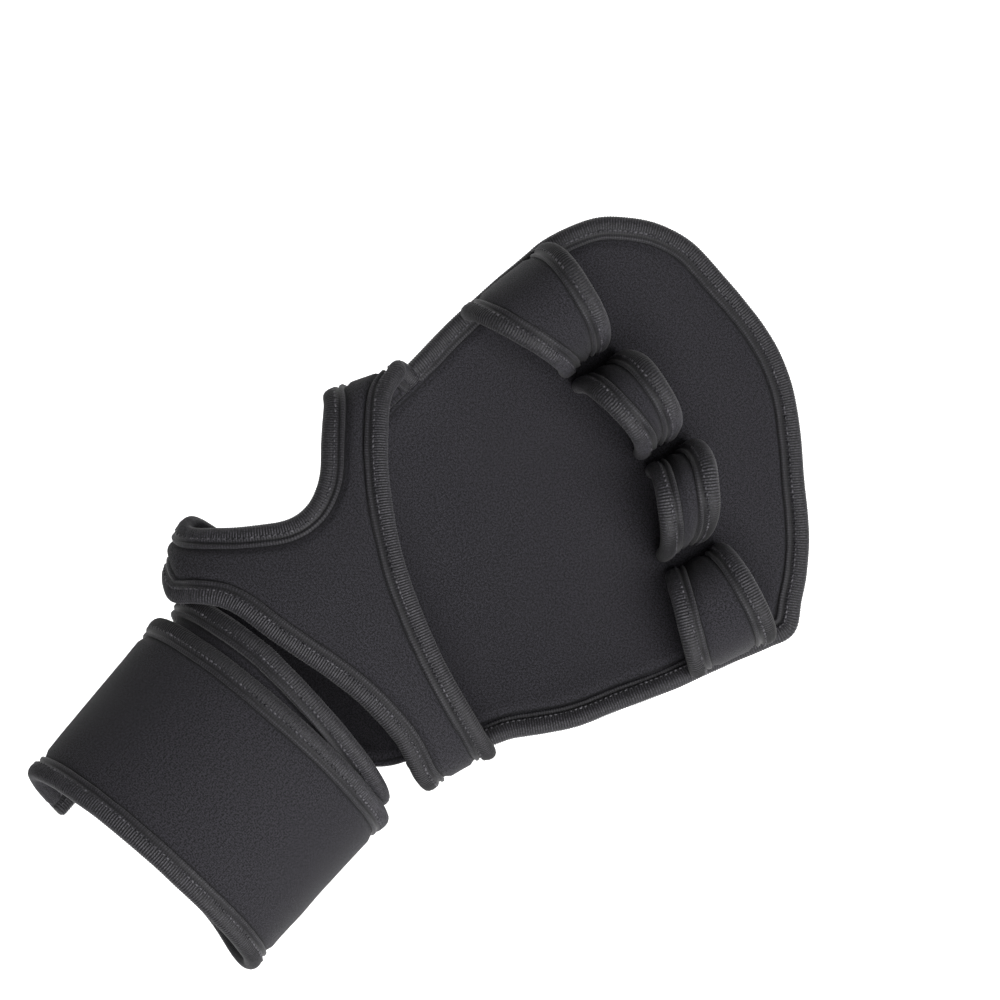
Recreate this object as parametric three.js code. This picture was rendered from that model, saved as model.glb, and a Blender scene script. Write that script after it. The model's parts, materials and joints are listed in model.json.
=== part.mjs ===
// An open-back weightlifting glove for a right hand, in the form that it has when it is worn.
// Millimetres. +Y runs along the hand to the fingertips, +Z comes out of the back of the hand and +X
// points to the little finger. The origin is in the hollow of the palm, where the hand sits.
import * as THREE from 'three';
import { mergeVertices } from 'three/addons/utils/BufferGeometryUtils.js';

// Driving dimensions of the neoprene and its edging
const clothThickness = 2.6;
const bindingWidth = 4.3;
const bindingThickness = 4.0;
const gap = 0.3;
const seamGap = 0.4;
const bindingInset = bindingWidth / 2;
const clothInset = bindingWidth + seamGap;
const edgingGap = 0.44;
const bindingEndGap = 0.8;
const strapEdgingCut = 1.2;

// Driving dimensions of the wrist wrap: an oval tube in two turns. The first turn starts nearer the hand by
// handShift, and what the second turn leaves bare flares out. That start is slanted: nearer the arm by the
// share slack on the little-finger side, and nearer the hand by the share thumbReach on the thumb side.
const wrap = {
  centre: new THREE.Vector3(-2.2, -57.5, 16),
  yaw: 10,
  tilt: 13.7,
  halfWidth: 30.9,
  halfDepth: 20.2,
  taper: 0.045,
  length: 49,
  turnSpacing: 4.3,
  handShift: -7.5,
  slack: 0.42,
  thumbReach: 0.14,
  flare: 2.6,
  flareLength: 6,
  startAngle: -60,
  growFrom: 226,
  growTo: 296,
  slideTo: 352,
  endAngle: 578,
};
const hookPatch = { from: 196, to: 216, near: 6, far: 36, thickness: 1.1 };

// The pad's tongue inside the wrap: where the pad's underside turns into it, from the wrap's hand end, and
// the least height share that keeps its sides from closing up
const tongue = { blendFrom: -5.5, blendTo: -1, leastHeight: 0.3 };

// The form's edge is kept just inside its widest place, as a share of its half width
const formEdge = 0.985;

// The closed form that the palm pad and the back strap lie on, as sections across the hand. Beyond the
// knuckles, at y 30 and more, only its underside is used.
const handSections = [
  { y: -70, left: -34, right: 27, middle: 16, above: 19.5, below: 19, power: 2.1 },
  { y: -60, left: -40, right: 28, middle: 16, above: 19.5, below: 18.5, power: 2 },
  { y: -55, left: -44.2, right: 28.8, middle: 15.8, above: 19.3, below: 18, power: 2 },
  { y: -50, left: -49, right: 30, middle: 15.5, above: 19.2, below: 17.5, power: 2.1 },
  { y: -40, left: -51.5, right: 32.9, middle: 15, above: 19, below: 16.5, power: 2.2 },
  { y: -22, left: -53, right: 36.6, middle: 14, above: 18.4, below: 15, power: 2.3 },
  { y: -8, left: -53.5, right: 45, middle: 13.5, above: 17.2, below: 14, power: 2.3 },
  { y: 4, left: -52.7, right: 50, middle: 13, above: 16.4, below: 13.4, power: 2.3 },
  { y: 20, left: -48.6, right: 53, middle: 11, above: 15.6, below: 11.6, power: 2.3 },
  { y: 34, left: -53, right: 60, middle: 5, above: 14, below: 6.2, power: 2.5 },
  { y: 50, left: -54, right: 66, middle: 1.4, above: 12, below: 3.8, power: 2.5 },
  { y: 72, left: -56, right: 68, middle: -0.5, above: 12, below: 3.6, power: 2.5 },
  { y: 98, left: -57, right: 70, middle: -2, above: 12, below: 4.2, power: 2.5 },
];

// The palm pad's cut edge at its two sides, from the heel of the hand to the flap
const palmSides = [
  { y: -66, thumbSide: -16, littleSide: 13.5 },
  { y: -60, thumbSide: -16.5, littleSide: 14 },
  { y: -56, thumbSide: -21, littleSide: 14 },
  { y: -52.5, thumbSide: -32, littleSide: 15 },
  { y: -46, thumbSide: -35, littleSide: 22.6 },
  { y: -38, thumbSide: -34.5, littleSide: 26.6 },
  { y: -30, thumbSide: -30, littleSide: 29 },
  { y: -15, thumbSide: -28, littleSide: 33.5 },
  { y: -7, thumbSide: -33.5, littleSide: 38 },
  { y: 0, thumbSide: -39, littleSide: 41.5 },
  { y: 8, thumbSide: -42, littleSide: 44 },
  { y: 22, thumbSide: -43.6, littleSide: 48.5 },
  { y: 34, thumbSide: -45, littleSide: 52 },
  { y: 50, thumbSide: -45.8, littleSide: 56.4 },
  { y: 66, thumbSide: -46.3, littleSide: 60 },
];
const flapEdge = [
  { x: -43.4, y: 76 },
  { x: -31, y: 87.2 },
  { x: -16, y: 89.2 },
  { x: 3, y: 88.8 },
  { x: 14.4, y: 85 },
  { x: 31.8, y: 74 },
  { x: 45, y: 64.4 },
];
const flapCorners = { thumbSideY: 64, littleSideY: 51 };

// The finger loops: the plan corners of each loop's outer rim, how far its two edges bow towards the
// fingertips over the finger, its crest, and how high its two feet stand over the pad
const loops = [
  {
    name: 'index', crest: 21.4,
    left: { x: -50.4, rear: 37.4, front: 64.6 }, right: { x: -21, rear: 47.4, front: 61 },
    leftLean: -0.4, rightLean: 0.4, rearBow: 1.5, frontBow: 3.9, leftSeat: 1.3, rightSeat: gap,
  },
  {
    name: 'middle', crest: 22.2,
    left: { x: -20.2, rear: 47.5, front: 62.5 }, right: { x: 6.1, rear: 48.9, front: 60.4 },
    leftLean: 1.6, rightLean: 0.8, rearBow: 2.4, frontBow: 4.4, leftSeat: gap, rightSeat: gap,
  },
  {
    name: 'ring', crest: 20.8,
    left: { x: 7.1, rear: 48.4, front: 62 }, right: { x: 28.2, rear: 37.6, front: 50.6 },
    leftLean: 1.8, rightLean: 2.6, rearBow: 1.8, frontBow: 4.6, leftSeat: gap, rightSeat: gap,
  },
  {
    name: 'little', crest: 18,
    left: { x: 29.6, rear: 36.6, front: 52.4 }, right: { x: 54.9, rear: 26.8, front: 48 },
    leftLean: 2.8, rightLean: 5.2, rearBow: -0.7, frontBow: 1.8, leftSeat: seamGap, rightSeat: 2,
  },
];
const loopShape = 2.5;

// The back strap's three rims, seen from above. Each runs on round the side of the hand to the pad.
const fingerRim = [
  { x: -47.3, y: 19.5 },
  { x: -45, y: 14.2 },
  { x: -40.6, y: 9.3 },
  { x: -27.3, y: -0.8 },
  { x: -7.4, y: -10.8 },
  { x: 15.2, y: -17 },
  { x: 34, y: -20.4 },
];
const thumbRim = [
  { x: -51.9, y: -1.1 },
  { x: -45, y: -7.6 },
  { x: -38.6, y: -13.7 },
  { x: -36, y: -19.5 },
  { x: -36.8, y: -25.3 },
  { x: -44.4, y: -37.1 },
  { x: -49.5, y: -43.6 },
];
const wristRim = [
  { x: -38.5, y: -58 },
  { x: -34.4, y: -53.4 },
  { x: -29.2, y: -48.9 },
  { x: -16.5, y: -45.1 },
  { x: 0.3, y: -40 },
  { x: 9.1, y: -38.2 },
  { x: 20, y: -37.8 },
  { x: 29.6, y: -40 },
];
const rimEnds = {
  fingerAtThumb: { side: 'thumbSide', y: 21.5 },
  fingerAtLittle: { side: 'littleSide', y: -21.5 },
  thumbAtWeb: { side: 'thumbSide', y: 3 },
  thumbAtWrist: { side: 'thumbSide', y: -38 },
  wristAtThumb: { side: 'thumbSide', y: -52.3 },
  wristAtLittle: { side: 'littleSide', y: -40.5 },
};
const forkShare = { finger: 0.42, thumb: 0.47, wrist: 0.36 };

// How many faces each sheet and edging is cut into, along its length or across it
const steps = {
  padEdge: 60, padAcross: 12, padAlong: 30, padEdging: 62, padEdgingSide: 12, cutOut: 22,
  loopAcross: 2, loopRound: 20, loopEdging: 22,
  fingerRim: 60, thumbRim: 48, wristRim: 48, strapAcross: 4, strapArm: 14, strapBody: 20,
  wrapAcross: 3, wrapRound: 56, wrapEnd: 8, patchAcross: 2, patchRound: 5,
};

const neoprene = new THREE.MeshStandardMaterial({ color: 0x232326, roughness: 0.9, metalness: 0 });
const ribbedTape = new THREE.MeshStandardMaterial({ color: 0x1a1a1d, roughness: 0.8, metalness: 0 });
const hookTape = new THREE.MeshStandardMaterial({ color: 0x161618, roughness: 0.95, metalness: 0 });

const radians = THREE.MathUtils.degToRad;
const mix = THREE.MathUtils.lerp;
const ease = THREE.MathUtils.smoothstep;

// The value of one column of a table at a place between its rows, on a smooth curve
function readTable(table, column, y) {
  const last = table.length - 1;
  let row = 0;
  while (row < last - 1 && y > table[row + 1].y) row += 1;
  const slope = (at) => {
    const before = table[Math.max(at - 1, 0)];
    const after = table[Math.min(at + 1, last)];
    return (after[column] - before[column]) / (after.y - before.y);
  };
  const from = table[row];
  const to = table[row + 1];
  const step = to.y - from.y;
  const t = THREE.MathUtils.clamp((y - from.y) / step, 0, 1);
  const swing = t * t * (3 - 2 * t);
  const rise = t * (1 - t) * (1 - t) * slope(row) - t * t * (1 - t) * slope(row + 1);
  return mix(from[column], to[column], swing) + rise * step;
}

// One section of the hand's form
function handSection(y) {
  const left = readTable(handSections, 'left', y);
  const right = readTable(handSections, 'right', y);
  return {
    x: (left + right) / 2,
    half: (right - left) / 2,
    middle: readTable(handSections, 'middle', y),
    above: readTable(handSections, 'above', y),
    below: readTable(handSections, 'below', y),
    power: readTable(handSections, 'power', y),
  };
}

// A number raised to a power, with its sign kept
function signedPower(value, power) {
  return Math.sign(value) * Math.abs(value) ** power;
}

// A point of the hand's form: angle 0 is the little-finger side, 90 the back and 270 the palm
function handPoint(angle, y) {
  const section = handSection(y);
  const across = signedPower(Math.cos(radians(angle)), 2 / section.power);
  const up = signedPower(Math.sin(radians(angle)), 2 / section.power);
  const depth = up > 0 ? section.above : section.below;
  return new THREE.Vector3(section.x + section.half * across, y, section.middle + depth * up);
}

// The angle of the form's point that a nearby point belongs to
function handAngle(point) {
  const section = handSection(point.y);
  const across = (point.x - section.x) / section.half;
  const up = point.z - section.middle;
  const depth = up > 0 ? section.above : section.below;
  const x = signedPower(across, section.power / 2);
  const z = signedPower(up / depth, section.power / 2);
  return (THREE.MathUtils.radToDeg(Math.atan2(z, x)) + 450) % 360 - 90;
}

// The directions of the wrist wrap: along the arm, across it and out of its back
const yaw = radians(wrap.yaw);
const tilt = radians(wrap.tilt);
const level = Math.cos(tilt);
const armWay = new THREE.Vector3(Math.sin(yaw) * level, -Math.cos(yaw) * level, Math.sin(tilt));
const acrossWay = new THREE.Vector3(Math.cos(yaw), Math.sin(yaw), 0);
const outWay = new THREE.Vector3().crossVectors(armWay, acrossWay);

// A point on an oval tube round the wrist, so far along the arm and so far out from the inner turn
function wristPoint(angle, along, out) {
  const size = 1 - wrap.taper * (along / wrap.length);
  const reach = out + wrap.flare * ease(-along, 0, wrap.flareLength);
  const across = (wrap.halfWidth * size + reach) * Math.cos(radians(angle));
  const up = (wrap.halfDepth * size + reach) * Math.sin(radians(angle));
  return wrap.centre.clone()
    .addScaledVector(armWay, along)
    .addScaledVector(acrossWay, across)
    .addScaledVector(outWay, up);
}

// The height of the tongue that runs inside the wrap, under a plan point
function tongueHeight(x, y) {
  const inside = bindingThickness / 2 + gap + clothThickness / 2;
  const plan = new THREE.Vector3(x, y, wrap.centre.z).sub(wrap.centre);
  const across = plan.dot(acrossWay) / (wrap.halfWidth - inside);
  const up = -Math.sqrt(Math.max(1 - across * across, tongue.leastHeight)) * (wrap.halfDepth - inside);
  return wrap.centre.z + (up - plan.x * outWay.x - plan.y * outWay.y) / outWay.z;
}

// The height of the underside: that of the hand, and near the wrap that of the tongue inside it
function undersideHeight(x, y, hand) {
  const inside = tongueHeight(x, y);
  const place = new THREE.Vector3(x, y, inside).sub(wrap.centre).dot(armWay) - wrap.handShift;
  return mix(hand, inside, ease(place, tongue.blendFrom, tongue.blendTo));
}

// A point of the palm pad's middle surface under a plan point
function palmPoint(x, y) {
  const section = handSection(y);
  const across = Math.min(Math.abs(x - section.x) / section.half, formEdge);
  const up = (1 - across ** section.power) ** (1 / section.power);
  const hand = section.middle - section.below * up;
  return new THREE.Vector3(x, y, undersideHeight(x, y, hand));
}

// A point of the hand's form over a plan point, on the back of the hand
function backPoint(x, y) {
  const section = handSection(y);
  const across = Math.min(Math.abs(x - section.x) / section.half, formEdge);
  const up = (1 - across ** section.power) ** (1 / section.power);
  return new THREE.Vector3(x, y, section.middle + section.above * up);
}

// A closed solid from a sheet of four-sided cells, given a thickness to both sides
function thicken(points, cells, thickness) {
  const normals = points.map(() => new THREE.Vector3());
  const sides = new Map();
  for (const cell of cells) {
    const diagonal = new THREE.Vector3().subVectors(points[cell[2]], points[cell[0]]);
    const other = new THREE.Vector3().subVectors(points[cell[3]], points[cell[1]]);
    const normal = diagonal.cross(other);
    cell.forEach((corner, at) => {
      normals[corner].add(normal);
      sides.set(`${corner}_${cell[(at + 1) % 4]}`, [corner, cell[(at + 1) % 4]]);
    });
  }
  const positions = [];
  for (const face of [1, -1]) {
    points.forEach((point, at) => {
      const lift = normals[at].clone().normalize().multiplyScalar((face * thickness) / 2);
      positions.push(...point.clone().add(lift).toArray());
    });
  }
  const count = points.length;
  const index = [];
  const quad = (a, b, c, d) => index.push(a, b, c, a, c, d);
  for (const [a, b, c, d] of cells) {
    quad(a, b, c, d);
    quad(d + count, c + count, b + count, a + count);
  }
  for (const [key, [from, to]] of sides) {
    if (sides.has(key.split('_').reverse().join('_'))) continue;
    quad(to, from, from + count, to + count);
  }
  const geometry = new THREE.BufferGeometry();
  geometry.setAttribute('position', new THREE.Float32BufferAttribute(positions, 3));
  geometry.setIndex(index);
  return mergeVertices(geometry, 1e-4);
}

// The points and cells of a sheet, from a function of two shares that run from 0 to 1
function sheet(surface, across, along) {
  const points = [];
  const cells = [];
  for (let row = 0; row <= along; row += 1) {
    for (let column = 0; column <= across; column += 1) {
      points.push(surface(column / across, row / along));
    }
  }
  for (let row = 0; row < along; row += 1) {
    for (let column = 0; column < across; column += 1) {
      const corner = row * (across + 1) + column;
      cells.push([corner, corner + 1, corner + across + 2, corner + across + 1]);
    }
  }
  return { points, cells };
}

// Several sheets that share their edges, as one sheet
function joinSheets(parts) {
  const points = [];
  const cells = [];
  const places = new Map();
  for (const part of parts) {
    const found = part.points.map((point) => {
      const key = point.toArray().map((value) => Math.round(value * 1000)).join();
      if (!places.has(key)) places.set(key, points.push(point) - 1);
      return places.get(key);
    });
    part.cells.forEach((cell) => cells.push(cell.map((corner) => found[corner])));
  }
  return { points, cells };
}

// Evenly spaced points on a smooth curve through a few points
function spaced(points, count) {
  return new THREE.CatmullRomCurve3(points, false, 'centripetal').getSpacedPoints(count);
}

// The outward direction of a surface at each point of a path, from the sideways direction there
function pathFrames(path, sideways) {
  return path.map((point, at) => {
    const before = path[Math.max(at - 1, 0)];
    const after = path[Math.min(at + 1, path.length - 1)];
    const ahead = new THREE.Vector3().subVectors(after, before).normalize();
    const side = sideways(point, at).addScaledVector(ahead, -sideways(point, at).dot(ahead)).normalize();
    return { point, ahead, side, out: new THREE.Vector3().crossVectors(ahead, side) };
  });
}

// A path cut back a little at both ends
function cutBack(path, distance) {
  const cut = path.slice();
  const last = path.length - 1;
  cut[0] = path[0].clone().lerp(path[1], distance / path[0].distanceTo(path[1]));
  cut[last] = path[last].clone().lerp(path[last - 1], distance / path[last].distanceTo(path[last - 1]));
  return cut;
}

// A binding: a flattened six-sided tape along a path, from the frames of the path
const tapeSection = [[1, 0], [0.55, 1], [-0.55, 1], [-1, 0], [-0.55, -1], [0.55, -1]];
function binding(frames) {
  const sides = tapeSection.length;
  const geometry = new THREE.CylinderGeometry(1, 1, 1, sides, frames.length - 1);
  geometry.deleteAttribute('normal');
  geometry.deleteAttribute('uv');
  const place = geometry.getAttribute('position');
  const last = frames.length - 1;
  for (let at = 0; at < place.count; at += 1) {
    const { point, side, out } = frames[Math.round((0.5 - place.getY(at)) * last)];
    const reach = Math.hypot(place.getX(at), place.getZ(at));
    const turn = Math.round((Math.atan2(place.getX(at), place.getZ(at)) / (2 * Math.PI)) * sides);
    const [across, up] = tapeSection[(turn + sides) % sides];
    const shifted = point.clone();
    if (reach > 0.5) {
      shifted.addScaledVector(side, (across * bindingWidth) / 2);
      shifted.addScaledVector(out, (up * bindingThickness) / 2);
    }
    place.setXYZ(at, ...shifted.toArray());
  }
  return mergeVertices(geometry, 1e-4);
}

// A geometry with its faces turned out, whichever way it was wound
function facingOut(geometry) {
  const place = geometry.getAttribute('position');
  const index = geometry.getIndex();
  const corner = (at) => new THREE.Vector3().fromBufferAttribute(place, index.getX(at));
  let volume = 0;
  for (let at = 0; at < index.count; at += 3) {
    volume += corner(at).dot(corner(at + 1).cross(corner(at + 2)));
  }
  if (volume < 0) {
    for (let at = 0; at < index.count; at += 3) {
      const first = index.getX(at);
      index.setX(at, index.getX(at + 2));
      index.setX(at + 2, first);
    }
  }
  geometry.computeVertexNormals();
  return geometry;
}

const glove = new THREE.Group();

function add(name, geometry, material) {
  const mesh = new THREE.Mesh(facingOut(geometry), material);
  mesh.name = name;
  glove.add(mesh);
}

// A four-sided patch between four curves that share their corners
function patch(bottom, top, left, right) {
  return (u, v) => {
    const ruled = bottom(u).multiplyScalar(1 - v).addScaledVector(top(u), v);
    ruled.addScaledVector(left(v), 1 - u).addScaledVector(right(v), u);
    ruled.addScaledVector(left(0), -(1 - u) * (1 - v)).addScaledVector(right(0), -u * (1 - v));
    return ruled.addScaledVector(left(1), -(1 - u) * v).addScaledVector(right(1), -u * v);
  };
}

// A curve's point at a share of its length, from evenly spaced points
function along(points) {
  return (share) => {
    const place = share * (points.length - 1);
    const at = Math.min(Math.floor(place), points.length - 2);
    return points[at].clone().lerp(points[at + 1], place - at);
  };
}

// Palm pad: a sheet between its two side edges, its heel and the flap's edge
function sideEdge(side, from, to, count) {
  const points = [];
  for (let at = 0; at <= count; at += 1) {
    const y = mix(from, to, at / count);
    points.push(palmPoint(readTable(palmSides, side, y), y));
  }
  return points;
}

const heelY = palmSides[0].y;
const thumbSidePath = sideEdge('thumbSide', heelY, flapCorners.thumbSideY, steps.padEdge);
const littleSidePath = sideEdge('littleSide', heelY, flapCorners.littleSideY, steps.padEdge);
const flapPath = spaced([
  thumbSidePath.at(-1),
  ...flapEdge.map(({ x, y }) => palmPoint(x, y)),
  littleSidePath.at(-1),
], steps.padEdge);
const heelPath = [thumbSidePath[0], littleSidePath[0]];

const padPatch = patch(along(heelPath), along(flapPath), along(thumbSidePath), along(littleSidePath));
const pad = sheet((u, v) => {
  const flat = padPatch(u, v);
  return palmPoint(flat.x, flat.y);
}, steps.padAcross, steps.padAlong);
add('palm_pad', thicken(pad.points, pad.cells, clothThickness), neoprene);

// The pad's edging lies just outside its cut edge, and stops short of the back strap at both ends
const padOutset = edgingGap + bindingInset;
function outsidePad(points) {
  const frames = pathFrames(points, (point, at) => {
    const before = points[Math.max(at - 1, 0)];
    const after = points[Math.min(at + 1, points.length - 1)];
    return new THREE.Vector3(before.y - after.y, after.x - before.x, 0);
  });
  return frames.map(({ point, side }) => {
    const moved = point.clone().addScaledVector(side, padOutset);
    return palmPoint(moved.x, moved.y);
  });
}

function palmSideways(points) {
  return (point, at) => {
    const before = points[Math.max(at - 1, 0)];
    const after = points[Math.min(at + 1, points.length - 1)];
    const flat = new THREE.Vector3(after.y - before.y, before.x - after.x, 0).normalize();
    const reach = palmPoint(point.x + flat.x, point.y + flat.y);
    return reach.sub(palmPoint(point.x - flat.x, point.y - flat.y));
  };
}

const freeEdge = [
  ...sideEdge(
    'thumbSide',
    rimEnds.fingerAtThumb.y + bindingEndGap,
    flapCorners.thumbSideY,
    steps.padEdgingSide,
  ),
  ...flapPath.filter((point, at) => at % 3 === 0).slice(1, -1),
  ...sideEdge(
    'littleSide',
    flapCorners.littleSideY,
    rimEnds.fingerAtLittle.y + 2 * bindingEndGap,
    1.5 * steps.padEdgingSide,
  ),
];
const outerEdge = spaced(outsidePad(freeEdge), steps.padEdging);
add('palm_binding', binding(pathFrames(outerEdge, palmSideways(outerEdge))), ribbedTape);

const cutOut = sideEdge(
  'thumbSide',
  rimEnds.thumbAtWrist.y + bindingEndGap,
  rimEnds.thumbAtWeb.y - bindingEndGap,
  steps.cutOut,
);
const cutOutEdge = outsidePad(cutOut);
add('palm_thumb_binding', binding(pathFrames(cutOutEdge, palmSideways(cutOutEdge))), ribbedTape);

// A point of a finger loop: round is 0 at its foot on the thumb side and 1 at the other foot, and reach
// is 0 on its rear edge and 1 on its front edge
function loopPoint(loop, round, reach) {
  const turn = Math.PI * (1 - round);
  const across = signedPower(Math.cos(turn), 2 / loopShape);
  const up = Math.abs(Math.sin(turn)) ** (2 / loopShape);
  const half = bindingThickness / 2;
  const sideways = { left: half + loop.leftLean * reach, right: loop.rightLean * reach - half };
  const left = { x: loop.left.x + sideways.left, y: mix(loop.left.rear, loop.left.front, reach) };
  const right = { x: loop.right.x + sideways.right, y: mix(loop.right.rear, loop.right.front, reach) };
  const leftFoot = palmPoint(left.x, left.y).z + clothThickness / 2 + loop.leftSeat;
  const rightFoot = palmPoint(right.x, right.y).z + clothThickness / 2 + loop.rightSeat;
  const share = (across + 1) / 2;
  const foot = mix(leftFoot, rightFoot, share);
  const bow = mix(loop.rearBow, loop.frontBow, reach) * up;
  return new THREE.Vector3(
    mix(left.x, right.x, share),
    mix(left.y, right.y, share) + bow,
    foot + (loop.crest - foot) * up,
  );
}

// The share of a loop's width that a distance takes up, at one place round it
function loopShare(loop, round, distance) {
  return distance / loopPoint(loop, round, 0).distanceTo(loopPoint(loop, round, 1));
}

for (const loop of loops) {
  const band = sheet((u, v) => {
    const inset = loopShare(loop, v, clothInset);
    return loopPoint(loop, v, mix(inset, 1 - inset, u));
  }, steps.loopAcross, steps.loopRound);
  add(`loop_${loop.name}`, thicken(band.points, band.cells, clothThickness), neoprene);
  for (const [edge, place] of [['rear', 0], ['front', 1]]) {
    const inside = (round, distance) => {
      const inset = loopShare(loop, round, distance);
      return loopPoint(loop, round, place ? 1 - inset : inset);
    };
    const path = [];
    for (let at = 0; at <= steps.loopEdging; at += 1) path.push(inside(at / steps.loopEdging, bindingInset));
    const sideways = (point, at) => {
      const round = at / steps.loopEdging;
      return inside(round, 0).sub(inside(round, bindingWidth));
    };
    add(`binding_${edge}_${loop.name}`, binding(pathFrames(path, sideways)), ribbedTape);
  }
}

// Back strap: its rims run over the back of the hand and round its sides to the pad's cut edge
function padEdgeOnHand({ side, y }) {
  const x = readTable(palmSides, side, y);
  const outward = side === 'littleSide' ? 1 : -1;
  return palmPoint(x + outward * seamGap, y);
}

// A rim's evenly spaced points, from its end at the pad over the back to its other end. Round each side of
// the hand it passes two points at thirds of the way.
const sideShares = [0.33, 0.66];
function rim(rows, firstEnd, lastEnd, count) {
  const start = padEdgeOnHand(firstEnd);
  const end = padEdgeOnHand(lastEnd);
  const over = rows.map(({ x, y }) => backPoint(x, y));
  const round = (from, to, angleFrom, angleTo) => {
    const points = [];
    for (const share of sideShares) {
      points.push(handPoint(mix(angleFrom, angleTo, share), mix(from.y, to.y, share)));
    }
    return points;
  };
  const points = [
    start,
    ...round(start, over[0], handAngle(start), handAngle(over[0])),
    ...over,
    ...round(over.at(-1), end, handAngle(over.at(-1)), handAngle(end)),
    end,
  ];
  return spaced(points, count).map((point) => handPoint(handAngle(point), point.y));
}

// A rim moved over the form by a distance, to the left of the way that it runs
const moveSteps = 4;
function moved(points, distance) {
  return points.map((start, at) => {
    const before = points[Math.max(at - 1, 0)];
    const after = points[Math.min(at + 1, points.length - 1)];
    const ahead = new THREE.Vector3().subVectors(after, before).normalize();
    let point = start;
    for (let step = 0; step < moveSteps; step += 1) {
      const angle = handAngle(point);
      const out = new THREE.Vector3().crossVectors(
        handPoint(angle, point.y + 1).sub(handPoint(angle, point.y - 1)),
        handPoint(angle + 1, point.y).sub(handPoint(angle - 1, point.y)),
      ).normalize();
      const side = new THREE.Vector3().crossVectors(out, ahead).normalize();
      const shifted = point.clone().addScaledVector(side, distance / moveSteps);
      point = handPoint(handAngle(shifted), shifted.y);
    }
    return point;
  });
}

const fingerRimPath = rim(fingerRim, rimEnds.fingerAtThumb, rimEnds.fingerAtLittle, steps.fingerRim);
const thumbRimPath = rim(thumbRim, rimEnds.thumbAtWeb, rimEnds.thumbAtWrist, steps.thumbRim);
const wristRimPath = rim(wristRim, rimEnds.wristAtThumb, rimEnds.wristAtLittle, steps.wristRim);

// The strap's cut edge inside each binding, with both ends set against the pad
function cutEdge(points, inward, firstEnd, lastEnd) {
  const edge = moved(points, inward * clothInset);
  edge[0] = padEdgeOnHand({ side: firstEnd.side, y: edge[0].y });
  edge[edge.length - 1] = padEdgeOnHand({ side: lastEnd.side, y: edge.at(-1).y });
  return edge;
}

const fingerEdge = along(cutEdge(fingerRimPath, -1, rimEnds.fingerAtThumb, rimEnds.fingerAtLittle));
const thumbEdge = along(cutEdge(thumbRimPath, 1, rimEnds.thumbAtWeb, rimEnds.thumbAtWrist));
const wristEdge = along(cutEdge(wristRimPath, 1, rimEnds.wristAtThumb, rimEnds.wristAtLittle));

// The strap's end along the pad's edge, between two of its cut edges
function seam(side, from, to) {
  return (share) => padEdgeOnHand({ side, y: mix(from.y, to.y, share) });
}

// A straight line between two points
function straight(from, to) {
  return (share) => from.clone().lerp(to, share);
}

const fork = {
  finger: fingerEdge(forkShare.finger),
  thumb: thumbEdge(forkShare.thumb),
  wrist: wristEdge(forkShare.wrist),
};
const onHand = (surface) => (u, v) => {
  const point = surface(u, v);
  return handPoint(handAngle(point), point.y);
};
const webArm = patch(
  seam('thumbSide', thumbEdge(0), fingerEdge(0)),
  straight(fork.thumb, fork.finger),
  (v) => thumbEdge(v * forkShare.thumb),
  (v) => fingerEdge(v * forkShare.finger),
);
const wristArm = patch(
  seam('thumbSide', wristEdge(0), thumbEdge(1)),
  straight(fork.wrist, fork.thumb),
  (v) => wristEdge(v * forkShare.wrist),
  (v) => thumbEdge(1 - v * (1 - forkShare.thumb)),
);
const littleArm = patch(
  (u) => (u < 0.5 ? straight(fork.wrist, fork.thumb)(u * 2) : straight(fork.thumb, fork.finger)(u * 2 - 1)),
  seam('littleSide', wristEdge(1), fingerEdge(1)),
  (v) => wristEdge(mix(forkShare.wrist, 1, v)),
  (v) => fingerEdge(mix(forkShare.finger, 1, v)),
);
const backStrap = joinSheets([
  sheet(onHand(webArm), steps.strapAcross, steps.strapArm),
  sheet(onHand(wristArm), steps.strapAcross, steps.strapArm),
  sheet(onHand(littleArm), steps.strapAcross * 2, steps.strapBody),
]);
add('back_strap', thicken(backStrap.points, backStrap.cells, clothThickness), neoprene);

// The back strap's three bindings
for (const [name, path, inward] of [
  ['finger', fingerRimPath, -1],
  ['thumb', thumbRimPath, 1],
  ['wrist', wristRimPath, 1],
]) {
  const centre = cutBack(moved(path, inward * bindingInset), strapEdgingCut);
  const sideways = (point, at) => path[at].clone().sub(point);
  add(`back_binding_${name}`, binding(pathFrames(centre, sideways)), ribbedTape);
}

// Wrist wrap: one strap in two turns. Past its first turn it grows out over itself on the palm side and
// slides towards the arm.
function wrapPoint(angle, distance) {
  const out = wrap.turnSpacing * ease(angle, wrap.growFrom, wrap.growTo);
  const slant = Math.max(-wrap.thumbReach, wrap.slack * Math.cos(radians(angle)));
  const shift = wrap.handShift * (1 - slant);
  const slide = shift * (1 - ease(angle, wrap.growTo, wrap.slideTo));
  return wristPoint(angle, slide + distance, out);
}

// The strap's columns across: its cut edge, the place where the second turn starts, its middle and its other
// cut edge
const wrapColumns = [clothInset, gap - wrap.handShift, wrap.length / 2, wrap.length - clothInset];
const wrapStrap = sheet((u, v) => {
  const angle = mix(wrap.startAngle, wrap.endAngle, v);
  return wrapPoint(angle, wrapColumns[Math.round(u * steps.wrapAcross)]);
}, steps.wrapAcross, steps.wrapRound);
add('wrist_wrap', thicken(wrapStrap.points, wrapStrap.cells, clothThickness), neoprene);

for (const [name, rimPlace, inward] of [['hand', 0, 1], ['arm', wrap.length, -1]]) {
  const angles = Array.from(
    { length: steps.wrapRound + 1 },
    (none, at) => mix(wrap.startAngle, wrap.endAngle, at / steps.wrapRound),
  );
  const centre = angles.map((angle) => wrapPoint(angle, rimPlace + inward * bindingInset));
  const sideways = (point, at) => wrapPoint(angles[at], rimPlace).sub(point);
  add(`wrap_binding_${name}`, binding(pathFrames(centre, sideways)), ribbedTape);
}

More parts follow.
